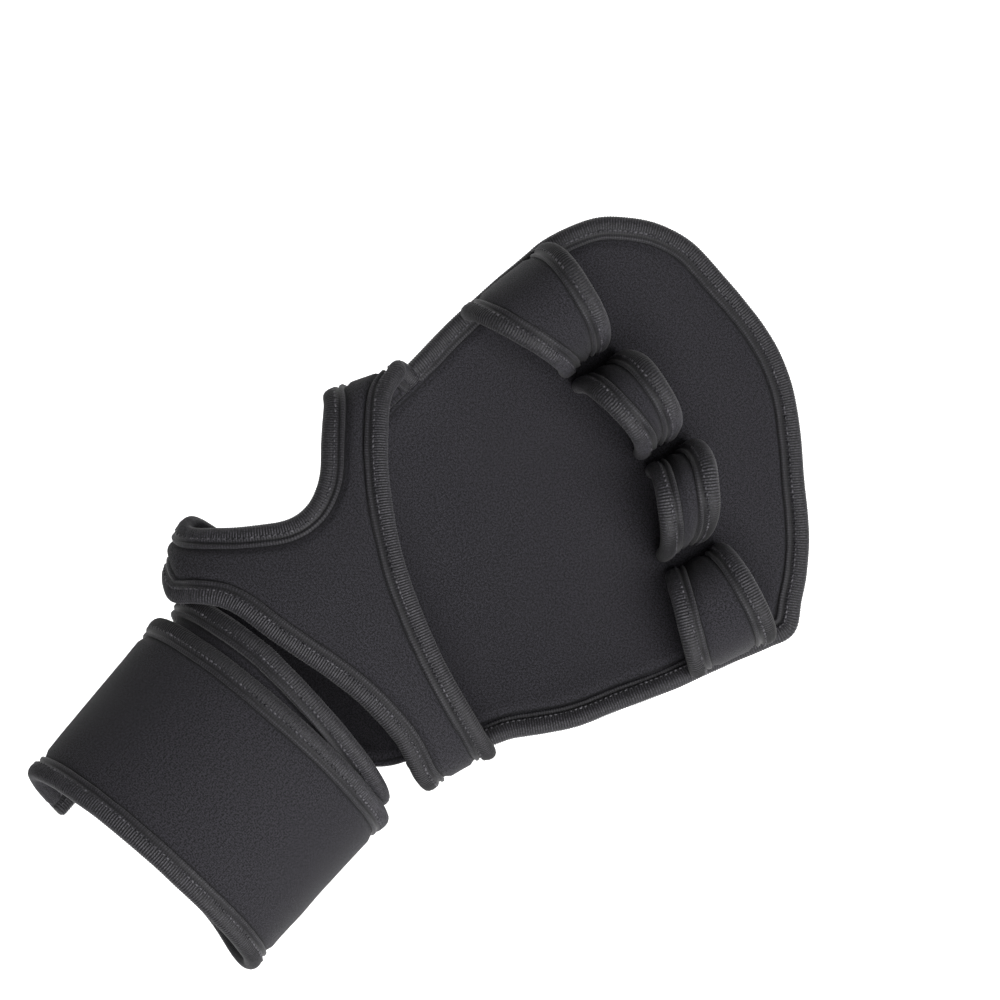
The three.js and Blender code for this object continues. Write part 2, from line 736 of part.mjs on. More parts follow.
// The binding across the wrap's free end, from one long edge to the other
const degreeLength = wrapPoint(wrap.endAngle, 0).distanceTo(wrapPoint(wrap.endAngle + 1, 0));
const endTurn = (seamGap + bindingInset) / degreeLength;
const endPlace = (at) => (at / steps.wrapEnd) * wrap.length;
const endPath = Array.from(
  { length: steps.wrapEnd + 1 },
  (none, at) => wrapPoint(wrap.endAngle + endTurn, endPlace(at)),
);
const endSideways = (point, at) => wrapPoint(wrap.endAngle + 2 * endTurn, endPlace(at)).sub(point);
add('wrap_binding_end', binding(pathFrames(endPath, endSideways)), ribbedTape);

// Hook patch between the wrap's two turns, on the palm side
const patchSheet = sheet((u, v) => {
  const angle = mix(hookPatch.from, hookPatch.to, v);
  return wristPoint(angle, mix(hookPatch.near, hookPatch.far, u), wrap.turnSpacing / 2);
}, steps.patchAcross, steps.patchRound);
add('hook_patch', thicken(patchSheet.points, patchSheet.cells, hookPatch.thickness), hookTape);

export default glove;
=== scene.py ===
"""An open-back weightlifting glove, right-handed, in black neoprene with ribbed binding tape.

The glove keeps its worn form. +Y runs from the wrist wrap to the finger loops and +Z comes out of the
glove's back. Lengths in the tables are millimetres, and every mesh is put down in metres.
"""

import json
import math
import random
from collections import namedtuple

import bmesh
import bpy
import numpy as np
from mathutils import Matrix, Vector, kdtree, noise

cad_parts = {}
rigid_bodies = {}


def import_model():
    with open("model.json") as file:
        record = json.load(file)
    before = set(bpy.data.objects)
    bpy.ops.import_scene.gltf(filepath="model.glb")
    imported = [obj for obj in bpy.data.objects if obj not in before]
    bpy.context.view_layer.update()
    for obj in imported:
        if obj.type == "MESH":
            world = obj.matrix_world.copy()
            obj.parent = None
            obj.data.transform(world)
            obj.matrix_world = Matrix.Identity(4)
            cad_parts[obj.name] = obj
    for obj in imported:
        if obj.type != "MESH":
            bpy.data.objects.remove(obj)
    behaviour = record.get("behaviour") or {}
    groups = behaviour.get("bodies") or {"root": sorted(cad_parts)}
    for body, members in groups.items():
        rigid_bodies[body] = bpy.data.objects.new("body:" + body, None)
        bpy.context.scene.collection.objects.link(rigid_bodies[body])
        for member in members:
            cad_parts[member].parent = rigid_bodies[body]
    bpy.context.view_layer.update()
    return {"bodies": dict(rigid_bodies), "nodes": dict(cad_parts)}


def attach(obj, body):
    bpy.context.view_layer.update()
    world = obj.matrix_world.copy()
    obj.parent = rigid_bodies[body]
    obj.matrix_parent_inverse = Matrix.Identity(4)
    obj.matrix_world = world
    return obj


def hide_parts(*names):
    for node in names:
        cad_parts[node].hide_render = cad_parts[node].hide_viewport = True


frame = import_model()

MILLIMETRE = 0.001
BODY = next(iter(frame["bodies"]))

# Neoprene and its edging. The sewn values say how thin a panel gets where it is sewn down, and how far in
# its fullness and its groove lie. A loop's feet sink into their seam.
CLOTH_THICKNESS = 2.6
BINDING_WIDTH = 4.3
BINDING_THICKNESS = 4.0
GAP = 0.3
SEAM_GAP = 0.4
BINDING_INSET = BINDING_WIDTH / 2
CLOTH_INSET = BINDING_WIDTH + SEAM_GAP
PAD_SEAM_GAP = 0.44
PAD_OUTSET = PAD_SEAM_GAP + BINDING_INSET
SEWN_SHARE = 0.45
SEWN_WIDTH = 2.8
GROOVE_PLACE = 1.05
GROOVE_WIDTH = 0.5
FOOT_SINK = 1.6

# Ribs and rounded ends of the binding tape. A spread is the least and the greatest share of a size.
RIB_PITCH = 0.64
RIB_HEIGHT = 0.1
RIB_SPREAD = (0.85, 1.1)
RIB_STEPS = 4
CAP_LENGTH = 1.2
CAP_NARROWING = 0.5
PRESSED_LENGTH = 5.5

# The thread that sews it down, and how far its stitches turn aside
STITCH_PITCH = 1.3
STITCH_LENGTH = 1.2
STITCH_SPREAD = (0.7, 1.15)
STITCH_SWAY = 0.45
THREAD_RADIUS = 0.3
THREAD_SPREAD = (0.7, 1.25)
SEAM_LEAN = 1.1

# The wrist wrap: a tilted oval tube in two turns. Its start and end, and where the second turn grows out and
# slides on, are angles round the tube in degrees.
WRAP_CENTRE = Vector((-2.2, -57.5, 16))
WRAP_YAW = math.radians(10)
WRAP_TILT = math.radians(13.7)
WRAP_HALF_WIDTH = 30.9
WRAP_HALF_DEPTH = 20.2
WRAP_TAPER = 0.045
WRAP_LENGTH = 49
TURN_SPACING = 4.3
HAND_SHIFT = -7.5
SLACK = 0.42
THUMB_REACH = 0.14
FLARE = 2.6
FLARE_LENGTH = 6
WRAP_START = -60
WRAP_END = 578
GROW_FROM = 226
GROW_TO = 296
SLIDE_TO = 352

# The form that the pad and the back strap lie on, as sections across it
Section = namedtuple("Section", "y left right middle above below power")
HAND_SECTIONS = [
    Section(-70, -34, 27, 16, 19.5, 19, 2.1),
    Section(-60, -40, 28, 16, 19.5, 18.5, 2),
    Section(-55, -44.2, 28.8, 15.8, 19.3, 18, 2),
    Section(-50, -49, 30, 15.5, 19.2, 17.5, 2.1),
    Section(-40, -51.5, 32.9, 15, 19, 16.5, 2.2),
    Section(-22, -53, 36.6, 14, 18.4, 15, 2.3),
    Section(-8, -53.5, 45, 13.5, 17.2, 14, 2.3),
    Section(4, -52.7, 50, 13, 16.4, 13.4, 2.3),
    Section(20, -48.6, 53, 11, 15.6, 11.6, 2.3),
    Section(34, -53, 60, 5, 14, 6.2, 2.5),
    Section(50, -54, 66, 1.4, 12, 3.8, 2.5),
    Section(72, -56, 68, -0.5, 12, 3.6, 2.5),
    Section(98, -57, 70, -2, 12, 4.2, 2.5),
]

# The palm pad's cut edge at its two sides, from its heel to the flap, and round the flap
Sides = namedtuple("Sides", "y thumb_side little_side")
PALM_SIDES = [
    Sides(-66, -16, 13.5),
    Sides(-60, -16.5, 14),
    Sides(-56, -21, 14),
    Sides(-52.5, -32, 15),
    Sides(-46, -35, 22.6),
    Sides(-38, -34.5, 26.6),
    Sides(-30, -30, 29),
    Sides(-15, -28, 33.5),
    Sides(-7, -33.5, 38),
    Sides(0, -39, 41.5),
    Sides(8, -42, 44),
    Sides(22, -43.6, 48.5),
    Sides(34, -45, 52),
    Sides(50, -45.8, 56.4),
    Sides(66, -46.3, 60),
]
FLAP_EDGE = [(-43.4, 76), (-31, 87.2), (-16, 89.2), (3, 88.8), (14.4, 85), (31.8, 74), (45, 64.4)]
THUMB_CORNER_Y = 64
LITTLE_CORNER_Y = 51
HEEL_Y = PALM_SIDES[0].y

# How many steps the pad's edging is drawn in along each side and the cut-out. Round the flap it takes every
# sixth point of the cut edge.
THUMB_EDGE_STEPS = 12
LITTLE_EDGE_STEPS = 18
CUT_OUT_STEPS = 22
FLAP_STEP = 6

# The finger loops: the plan corners of each outer rim, how far its edges bow forwards at the crest, the
# crest's height and how high its two feet stand over the pad
Foot = namedtuple("Foot", "x rear front lean seat")
Loop = namedtuple("Loop", "name crest left right rear_bow front_bow")
LOOPS = [
    Loop("index", 21.4, Foot(-50.4, 37.4, 64.6, -0.4, 1.3), Foot(-21, 47.4, 61, 0.4, GAP), 1.5, 3.9),
    Loop("middle", 22.2, Foot(-20.2, 47.5, 62.5, 1.6, GAP), Foot(6.1, 48.9, 60.4, 0.8, GAP), 2.4, 4.4),
    Loop("ring", 20.8, Foot(7.1, 48.4, 62, 1.8, GAP), Foot(28.2, 37.6, 50.6, 2.6, GAP), 1.8, 4.6),
    Loop("little", 18, Foot(29.6, 36.6, 52.4, 2.8, SEAM_GAP), Foot(54.9, 26.8, 48, 5.2, 2), -0.7, 1.8),
]
LOOP_SHAPE = 2.5

# The back strap's rims seen from above, and where each runs into the pad's edge
FINGER_RIM = [
    (-47.3, 19.5), (-45, 14.2), (-40.6, 9.3), (-27.3, -0.8), (-7.4, -10.8), (15.2, -17), (34, -20.4),
]
THUMB_RIM = [
    (-51.9, -1.1), (-45, -7.6), (-38.6, -13.7), (-36, -19.5), (-36.8, -25.3), (-44.4, -37.1),
    (-49.5, -43.6),
]
WRIST_RIM = [
    (-38.5, -58), (-34.4, -53.4), (-29.2, -48.9), (-16.5, -45.1),
    (0.3, -40), (9.1, -38.2), (20, -37.8), (29.6, -40),
]
RIM_ENDS = {
    "finger": [("thumb_side", 21.5), ("little_side", -21.5)],
    "thumb": [("thumb_side", 3), ("thumb_side", -38)],
    "wrist": [("thumb_side", -52.3), ("little_side", -40.5)],
}
SIDE_SHARES = (0.33, 0.66)
END_LAP = 1.2

# The strap's zigzag seams along the pad, from one y to another, and where along each rim the strap forks
STRAP_SEAMS = [("thumb_side", 5, 19), ("thumb_side", -50, -42), ("little_side", -38, -24)]
FORK_SHARE = {"finger": 0.42, "thumb": 0.47, "wrist": 0.36}

# How many steps the meshes and their lines have: across and along a panel, and along a line
PAD_STEPS = (84, 132)
LOOP_STEPS = (14, 90)
ARM_STEPS = (20, 56)
LITTLE_ARM_STEPS = (40, 84)
WRAP_STEPS = (40, 300)
PAD_EDGE_STEPS = 120
GIRTH_STEPS = 60
RIM_STEPS = 160
SEAM_STEPS = 40
CURVE_STEPS = 24
DENSE = 480

# Points of a panel and of the tape that are closer than these are joined
PANEL_WELD = 0.01
TAPE_WELD = 0.002

# Slight wander and ripples of the worn cloth, in metres
WANDER = 0.0004
WANDER_SCALE = 32
RIPPLE = 0.00013
RIPPLE_SCALE = 130
WANDER_SEED = 1
noise.seed_set(WANDER_SEED)

# Camera, in millimetres and degrees
VIEW_CENTRE = Vector((-8.57, 17.4, 20))
VIEW_DISTANCE = 1200
VIEW_TURN = math.radians(39)
PIXELS_PER_MM = 4.2
IMAGE_PIXELS = 1000
SENSOR_WIDTH = 36

# Stage, in metres and watts. The room's light is its slope across X and its middle.
FLOOR_HEIGHT = -0.6
FLOOR_SIZE = 60
FLOOR_GLOW = 0.9
SOFTBOX_PLACE = Vector((0.45, 0.08, 0.76))
SOFTBOX_AIM = Vector((0, 0, 0.01))
SOFTBOX_SIZE = 0.75
SOFTBOX_POWER = 14.5
ROOM_LIGHT = (0.02, 0.12)


def clamp(value, low, high):
    return max(low, min(high, value))


def mix(a, b, share):
    return a + (b - a) * share


def ease(value, low, high):
    """0 below low, 1 above high and a smooth step between."""
    t = clamp((value - low) / (high - low), 0, 1)
    return t * t * (3 - 2 * t)


def signed_power(value, power):
    return math.copysign(abs(value) ** power, value)


def read_table(table, column, y):
    """The value of one column of a table at a place between its rows, on a smooth curve."""
    last = len(table) - 1
    row = 0
    while row < last - 1 and y > table[row + 1].y:
        row += 1

    def slope(at):
        before, after = table[max(at - 1, 0)], table[min(at + 1, last)]
        return (getattr(after, column) - getattr(before, column)) / (after.y - before.y)

    start, end = table[row], table[row + 1]
    step = end.y - start.y
    t = clamp((y - start.y) / step, 0, 1)
    rise = t * (1 - t) * (1 - t) * slope(row) - t * t * (1 - t) * slope(row + 1)
    return mix(getattr(start, column), getattr(end, column), t * t * (3 - 2 * t)) + rise * step


# The form of the worn glove

def unevenness(place):
    """The slight wander of worn cloth, in metres, that all pieces near a place share."""
    wander = noise.noise_vector(place * WANDER_SCALE) * WANDER
    return wander + noise.noise_vector(place * RIPPLE_SCALE) * RIPPLE


def hand_section(y):
    """The middle, half width, depths and roundness of the form at y."""
    left, right, middle, above, below, power = (
        read_table(HAND_SECTIONS, column, y) for column in Section._fields[1:]
    )
    return (left + right) / 2, (right - left) / 2, middle, above, below, power


def hand_point(angle, y):
    """A point of the form: angle 0 is the little-finger side, 90 the back and 270 the palm."""
    x, half, middle, above, below, power = hand_section(y)
    across = signed_power(math.cos(math.radians(angle)), 2 / power)
    up = signed_power(math.sin(math.radians(angle)), 2 / power)
    return Vector((x + half * across, y, middle + (above if up > 0 else below) * up))


def hand_angle(point):
    """The angle, from -90 to 270, of the form's point that a nearby point belongs to."""
    x, half, middle, above, below, power = hand_section(point.y)
    up = point.z - middle
    across = signed_power((point.x - x) / half, power / 2)
    height = signed_power(up / (above if up > 0 else below), power / 2)
    return (math.degrees(math.atan2(height, across)) + 450) % 360 - 90


def on_hand(point):
    """The point of the form next to a point."""
    return hand_point(hand_angle(point), point.y)


# The directions of the wrap's tube: to its far end, across it and out of its back
ARM_WAY = Vector((
    math.sin(WRAP_YAW) * math.cos(WRAP_TILT),
    -math.cos(WRAP_YAW) * math.cos(WRAP_TILT),
    math.sin(WRAP_TILT),
))
ACROSS_WAY = Vector((math.cos(WRAP_YAW), math.sin(WRAP_YAW), 0))
OUT_WAY = ARM_WAY.cross(ACROSS_WAY)


def wrap_point(angle, distance):
    """A point of the wrap's strap: past its first turn it lies over itself and slides to the far end. The
    first turn starts on a slant, and what the second turn leaves bare swells out again."""
    slant = max(-THUMB_REACH, SLACK * math.cos(math.radians(angle)))
    shift = HAND_SHIFT * (1 - slant)
    along = distance + shift * (1 - ease(angle, GROW_TO, SLIDE_TO))
    out = TURN_SPACING * ease(angle, GROW_FROM, GROW_TO) + FLARE * ease(-along, 0, FLARE_LENGTH)
    size = 1 - WRAP_TAPER * along / WRAP_LENGTH
    across = (WRAP_HALF_WIDTH * size + out) * math.cos(math.radians(angle))
    up = (WRAP_HALF_DEPTH * size + out) * math.sin(math.radians(angle))
    return WRAP_CENTRE + ARM_WAY * along + ACROSS_WAY * across + OUT_WAY * up


# The pad's tongue inside the wrap: how far inside it lies, where the pad turns into it, and the least share
# of its height that keeps its sides open. The form is read just inside its widest place.
TONGUE_INSIDE = BINDING_THICKNESS / 2 + GAP + CLOTH_THICKNESS / 2
TONGUE_BLEND = (HAND_SHIFT - 5.5, HAND_SHIFT - 1)
TONGUE_ROUND = 0.3
FORM_EDGE = 0.985


def tongue_height(x, y):
    """The height of the tongue that runs inside the wrap, under a plan point."""
    plan = Vector((x, y, WRAP_CENTRE.z)) - WRAP_CENTRE
    across = plan.dot(ACROSS_WAY) / (WRAP_HALF_WIDTH - TONGUE_INSIDE)
    up = -math.sqrt(max(1 - across * across, TONGUE_ROUND)) * (WRAP_HALF_DEPTH - TONGUE_INSIDE)
    return WRAP_CENTRE.z + (up - plan.x * OUT_WAY.x - plan.y * OUT_WAY.y) / OUT_WAY.z


def form_height(x, y, face):
    """The height of the form at a plan point, on its back or its palm face."""
    centre, half, middle, above, below, power = hand_section(y)
    across = min(abs(x - centre) / half, FORM_EDGE)
    up = (1 - across ** power) ** (1 / power)
    return middle + (above * up if face == "back" else -below * up)


def palm_point(x, y):
    """A point of the palm pad's middle surface under a plan point."""
    tongue = tongue_height(x, y)
    place = (Vector((x, y, tongue)) - WRAP_CENTRE).dot(ARM_WAY)
    return Vector((x, y, mix(form_height(x, y, "palm"), tongue, ease(place, *TONGUE_BLEND))))


def back_point(x, y):
    return Vector((x, y, form_height(x, y, "back")))


def smooth_curve(points, count):
    """Evenly spaced points on a centripetal curve through a few points."""
    ends = [points[0] * 2 - points[1], *points, points[-1] * 2 - points[-2]]
    found = []
    for at in range(1, len(ends) - 2):
        before, start, end, after = ends[at - 1:at + 3]
        spans = ((before, start), (start, end), (end, after))
        back, step, ahead = ((b - a).length ** 0.5 for a, b in spans)
        leave = (start - before) / back - (end - before) / (back + step) + (end - start) / step
        arrive = (end - start) / step - (after - start) / (step + ahead) + (after - end) / ahead
        for part in range(CURVE_STEPS + (at == len(ends) - 3)):
            t = part / CURVE_STEPS
            found.append(
                start * (2 * t ** 3 - 3 * t ** 2 + 1)
                + end * (3 * t ** 2 - 2 * t ** 3)
                + leave * step * (t ** 3 - 2 * t ** 2 + t)
                + arrive * step * (t ** 3 - t ** 2)
            )
    return spaced(found, count)


def spaced(points, count):
    """The same line again with its points evenly spaced."""
    line = np.array([tuple(point) for point in points])
    length = lengths_along(line)
    places = np.linspace(0, length[-1], count + 1)
    rows = np.stack([np.interp(places, length, line[:, k]) for k in range(3)], axis=1)
    return [Vector(row) for row in rows]


def lengths_along(line):
    """The length of a line up to each of its points."""
    return np.concatenate([[0], np.cumsum(np.linalg.norm(np.diff(line, axis=0), axis=1))])


def along(points):
    """A function that gives the line's point at a share of its points."""
    def at_share(share):
        place = share * (len(points) - 1)
        at = min(int(place), len(points) - 2)
        return points[at].lerp(points[at + 1], place - at)
    return at_share


def patch(bottom, top, left, right):
    """A four-sided surface between four curves that share their corners."""
    def at_shares(u, v):
        ruled = bottom(u) * (1 - v) + top(u) * v + left(v) * (1 - u) + right(v) * u
        corners = left(0) * ((1 - u) * (1 - v)) + right(0) * (u * (1 - v))
        return ruled - corners - left(1) * ((1 - u) * v) - right(1) * (u * v)
    return at_shares


def neighbours(points, at):
    """The direction of a line at one of its points."""
    return (points[min(at + 1, len(points) - 1)] - points[max(at - 1, 0)]).normalized()


# Mesh makers

def new_mesh():
    """An empty mesh with two maps in metres: the place on the flat cloth, and how far from its cut edge."""
    mesh = bmesh.new()
    mesh.loops.layers.uv.new("cloth")
    mesh.loops.layers.uv.new("from_edge")
    return mesh


def grid_on(mesh, across, rows, place, unroll):
    """Adds a grid to the mesh, put in place by a function of two shares that run from 0 to 1. unroll gives
    each point's place on the flat cloth."""
    made = bmesh.ops.create_grid(mesh, x_segments=across, y_segments=rows, size=0.5, calc_uvs=True)
    for vertex in made["verts"]:
        u = round((vertex.co.x + 0.5) * across) / across
        v = round((vertex.co.y + 0.5) * rows) / rows
        vertex.co = place(u, v) * MILLIMETRE
    layer = mesh.loops.layers.uv["cloth"]
    faces = {face for vertex in made["verts"] for face in vertex.link_faces}
    for face in faces:
        for loop in face.loops:
            column, row = loop[layer].uv
            flat = unroll(column, row, loop.vert.co / MILLIMETRE)
            loop[layer].uv = (flat[0] * MILLIMETRE, flat[1] * MILLIMETRE)


def object_from(name, mesh, material):
    """A finished object from a mesh, smooth all over and a little uneven."""
    for face in mesh.faces:
        face.smooth = True
    for vertex in mesh.verts:
        vertex.co += unevenness(vertex.co)
    data = bpy.data.meshes.new(name)
    mesh.to_mesh(data)
    mesh.free()
    data.materials.append(material)
    piece = bpy.data.objects.new(name, data)
    bpy.context.scene.collection.objects.link(piece)
    return piece


def edge_distances(mesh):
    """How far each point of an open sheet is from the sheet's edge, in millimetres."""
    edge = [vertex.co for vertex in mesh.verts if vertex.is_boundary]
    tree = kdtree.KDTree(len(edge))
    for at, place in enumerate(edge):
        tree.insert(place, at)
    tree.balance()
    return [tree.find(vertex.co)[2] / MILLIMETRE for vertex in mesh.verts]


def neoprene_panel(name, mesh):
    """A panel from an open sheet, thinner where it is sewn down along its edge."""
    bmesh.ops.remove_doubles(mesh, verts=mesh.verts, dist=PANEL_WELD * MILLIMETRE)
    mesh.verts.ensure_lookup_table()
    mesh.verts.index_update()
    distances = edge_distances(mesh)
    fullness = [mix(SEWN_SHARE, 1, ease(distance, GROOVE_PLACE, SEWN_WIDTH)) for distance in distances]
    from_edge = mesh.loops.layers.uv["from_edge"]
    for face in mesh.faces:
        for loop in face.loops:
            loop[from_edge].uv = (distances[loop.vert.index] * MILLIMETRE, 0)
    panel = object_from(name, mesh, NEOPRENE)
    group = panel.vertex_groups.new(name="fullness")
    for at, share in enumerate(fullness):
        group.add([at], share, "REPLACE")
    thick = panel.modifiers.new("thickness", "SOLIDIFY")
    thick.thickness = CLOTH_THICKNESS * MILLIMETRE
    thick.offset = 0
    thick.vertex_group = group.name
    thick.thickness_vertex_group = 0
    return panel


# The binding tape's section: how far in from the rim, how high over the middle of the cloth and how strong
# its ribs. From the rim it rolls over, dips behind its stitches, and ends in a thin raised woven edge.
Profile = namedtuple("Profile", "inward height rib")
TAPE_TOP = [
    Profile(0, 0, 0.6),
    Profile(0.12, 0.75, 0.9),
    Profile(0.5, 1.35, 1),
    Profile(1.2, 1.76, 1),
    Profile(2.1, 1.88, 1),
    Profile(2.9, 1.76, 1),
    Profile(3.4, 1.6, 0.8),
    Profile(3.8, 1.42, 0.5),
    Profile(4.15, 0.95, 0.1),
    Profile(4.5, 0.98, 0.1),
    Profile(4.75, 1.34, 0.5),
    Profile(5.25, 1.36, 0.5),
    Profile(5.55, 0.85, 0.2),
]
CREST = TAPE_TOP[4]
STITCHED = TAPE_TOP[6]
DIP = TAPE_TOP[8]
TAPE_SECTION = TAPE_TOP + [Profile(p.inward, -p.height, p.rib) for p in reversed(TAPE_TOP[1:])]

# The tape's girth, and where on it the painted shade of its dip lies, a little past its row of the section
TAPE_UNROLLED = 17.2
DIP_PAST = 0.4
DIP_PLACE = TAPE_UNROLLED * (TAPE_TOP.index(DIP) + DIP_PAST) / len(TAPE_SECTION)
DIP_WIDTH = 0.95


def frames_along(centres, rims):
    """A dense line with the direction to the rim and the direction out of the cloth, as arrays."""
    points = np.array([tuple(point) for point in centres])
    ahead = np.gradient(points, axis=0)
    ahead /= np.linalg.norm(ahead, axis=1)[:, None]
    side = np.array([tuple(point) for point in rims]) - points
    side -= ahead * (side * ahead).sum(1)[:, None]
    side /= np.linalg.norm(side, axis=1)[:, None]
    return points, ahead, side, np.cross(ahead, side)


def frames_at(frames, places):
    """The frames again at chosen lengths along their line."""
    length = lengths_along(frames[0])
    found = []
    for values in frames:
        read = np.stack([np.interp(places, length, values[:, k]) for k in range(3)], axis=1)
        if values is not frames[0]:
            read /= np.linalg.norm(read, axis=1)[:, None]
        found.append(read)
    return found


def binding(name, frames, pressed):
    """Ribbed tape folded over a cut edge, rounded at both ends. They can be pressed flat to a share of its
    height."""
    length = lengths_along(frames[0])[-1]
    ribs = round(length / RIB_PITCH)
    rows = ribs * RIB_STEPS
    points, _, side, out = frames_at(frames, np.linspace(0, length, rows + 1))
    random_rib = random.Random(name)
    strength = [random_rib.uniform(*RIB_SPREAD) for _ in range(ribs + 1)]
    sides = len(TAPE_SECTION)

    def place(u, v):
        row = round(v * rows)
        part = TAPE_SECTION[round(u * sides) % sides]
        from_end = min(row, rows - row) / rows * length
        into_cap = clamp(from_end / CAP_LENGTH, 0, 1)
        close = math.sqrt(into_cap * (2 - into_cap)) * mix(pressed, 1, ease(from_end, 0, PRESSED_LENGTH))
        crown = math.cos(2 * math.pi * row / RIB_STEPS) * strength[row // RIB_STEPS]
        from_crest = part.inward - CREST.inward
        raised = 1 + crown * part.rib * RIB_HEIGHT / math.hypot(from_crest, part.height)
        inward = CREST.inward + from_crest * raised * mix(1, close, CAP_NARROWING)
        height = part.height * raised * close
        shift = side[row] * (BINDING_INSET - inward) + out[row] * height
        return Vector(points[row] + shift)

    mesh = new_mesh()
    grid_on(mesh, sides, rows, place, lambda u, v, point: (u * TAPE_UNROLLED, v * length))
    bmesh.ops.remove_doubles(mesh, verts=mesh.verts, dist=TAPE_WELD * MILLIMETRE)
    close_ends(mesh)
    bmesh.ops.recalc_face_normals(mesh, faces=mesh.faces)
    return object_from(name, mesh, TAPE)


def close_ends(mesh):
    """Fills the open rings of a tube."""
    rings = [edge for edge in mesh.edges if edge.is_boundary]
    bmesh.ops.holes_fill(mesh, edges=rings, sides=0)


def stitch_row(stitches, frames, inward, height, seed, lean=0):
    """Adds the places of a row of stitches to a list: along a line, so far in from the rim and so high over
    the cloth. With a lean they make a zigzag."""
    places = np.arange(STITCH_PITCH, lengths_along(frames[0])[-1] - STITCH_PITCH, STITCH_PITCH)
    points, ahead, side, out = frames_at(frames, places)
    chance = random.Random(seed)
    for at in range(len(places)):
        centre = Vector(points[at] + side[at] * (BINDING_INSET - inward) + out[at] * height)
        aside = lean * (-1) ** at + chance.uniform(-STITCH_SWAY, STITCH_SWAY)
        way = Vector(ahead[at]) + Vector(side[at]) * aside
        thick = THREAD_RADIUS * chance.uniform(*THREAD_SPREAD)
        long = STITCH_LENGTH * chance.uniform(*STITCH_SPREAD) / 2
        turn = way.to_track_quat("Z", "Y").to_matrix().to_4x4()
        stitches.append(Matrix.Translation(centre) @ turn @ Matrix.Diagonal((thick, thick, long, 1)))


def seam_stitches(stitches, line, outs, seed):
    """Adds a zigzag of stitches that lies on the cloth along a seam."""
    points = [point + out.normalized() * (CLOTH_THICKNESS / 2) for point, out in zip(line, outs)]
    rims = [
        point + neighbours(points, at).cross(out)
        for at, (point, out) in enumerate(zip(points, outs))
    ]
    stitch_row(stitches, frames_along(points, rims), BINDING_INSET, 0, seed, SEAM_LEAN)


def thread_from(name, stitches):
    """One piece with a small round stitch at each place of a list."""
    mesh = new_mesh()
    bmesh.ops.create_icosphere(mesh, subdivisions=1, radius=1)
    for row in (mesh.verts, mesh.faces):
        row.ensure_lookup_table()
    shape = [vertex.co.copy() for vertex in mesh.verts]
    faces_each = len(mesh.faces)
    made = 1
    while made < len(stitches):
        added = min(made, len(stitches) - made)
        bmesh.ops.duplicate(mesh, geom=[*mesh.verts[:added * len(shape)], *mesh.faces[:added * faces_each]])
        for row in (mesh.verts, mesh.faces):
            row.ensure_lookup_table()
        made += added
    for at, vertex in enumerate(mesh.verts):
        place = stitches[at // len(shape)]
        vertex.co = place @ shape[at % len(shape)] * MILLIMETRE
    return object_from(name, mesh, THREAD)


# Materials

# Pattern scales are per metre, and pitches are metres
CLOUD_SCALE = 55
GRAIN_SCALE = 2500
GRAIN_CONTRAST = 6.5
FIBRE_SCALE = 2600
FIBRE_CUT = 0.62
FIBRE_CONTRAST = 3
WALE_PITCH = 0.00045
COURSE_PITCH = 0.0004
STITCH_SLANT = 1.1
RIDGE_POWER = 0.6
RIB_POWER = 1.4
YARN_PITCH = 0.0003
TWIST_SCALE = 3000
# The thread's painted highlights: the scale, contrast and shift of their random pale patches
GLINT_SCALE = 260
GLINT_CONTRAST = 5
GLINT_SHIFT = -2.1
HOOK_SCALE = 900
PAPER_SCALE = 20

# How strongly the painted shade shows in the knit's gaps, the groove and the tape's dip
KNIT_GAP_SHADE_SHARE = 0.5
GROOVE_SHADE_SHARE = 0.85
DIP_SHADE_SHARE = 0.9

# Colours of the cloth, from its dye to its lint, then of the tape, the thread, the hooks and the floor
DEEP_DYE = (0.034, 0.032, 0.0402, 1)
WORN_DYE = (0.043, 0.0405, 0.0507, 1)
GRAIN_DARK = (0.0015, 0.0014, 0.0018, 1)
# Painted shade for the gaps between the knit's stitches
KNIT_GAP_PAINTED_SHADE = (0.006, 0.0056, 0.0075, 1)
# Painted shade for the groove along the sewn edges
GROOVE_PAINTED_SHADE = (0.002, 0.002, 0.0025, 1)
LINT_PALE = (0.055, 0.053, 0.062, 1)
TAPE_DARK = (0.006, 0.0057, 0.0073, 1)
TAPE_PALE = (0.05, 0.0473, 0.0575, 1)
# Painted shade for the gaps between the tape's ribs
RIB_GAP_PAINTED_SHADE = (0.0025, 0.0022, 0.003, 1)
# Painted shade for the tape's dip behind its stitches
DIP_PAINTED_SHADE = (0.002, 0.0018, 0.0024, 1)
THREAD_DARK = (0.012, 0.0113, 0.0145, 1)
# The thread's pale end is a painted highlight
THREAD_GLINT_PALE = (0.07, 0.067, 0.076, 1)
HOOK_DARK = (0.005, 0.005, 0.006, 1)
HOOK_PALE = (0.03, 0.03, 0.032, 1)
PAPER_GREY = (0.9, 0.9, 0.9, 1)
PAPER_PALE = (0.93, 0.93, 0.93, 1)


def node_group(name, inputs, outputs):
    """An empty shader node group with named sockets, and its input and output nodes."""
    group = bpy.data.node_groups.new(name, "ShaderNodeTree")
    for socket, kind, default in inputs:
        made = group.interface.new_socket(name=socket, in_out="INPUT", socket_type=kind)
        if default is not None:
            made.default_value = default
    for socket, kind in outputs:
        group.interface.new_socket(name=socket, in_out="OUTPUT", socket_type=kind)
    return group, group.nodes.new("NodeGroupInput"), group.nodes.new("NodeGroupOutput")


def math_node(tree, operation, *values):
    """A math node's output, from numbers and other outputs."""
    node = tree.nodes.new("ShaderNodeMath")
    node.operation = operation
    for at, value in enumerate(values):
        if isinstance(value, (int, float)):
            node.inputs[at].default_value = value
        else:
            tree.links.new(value, node.inputs[at])
    return node.outputs[0]


def scaled(tree, value, factor, offset):
    """A value times a factor plus an offset."""
    return math_node(tree, "MULTIPLY_ADD", value, factor, offset)


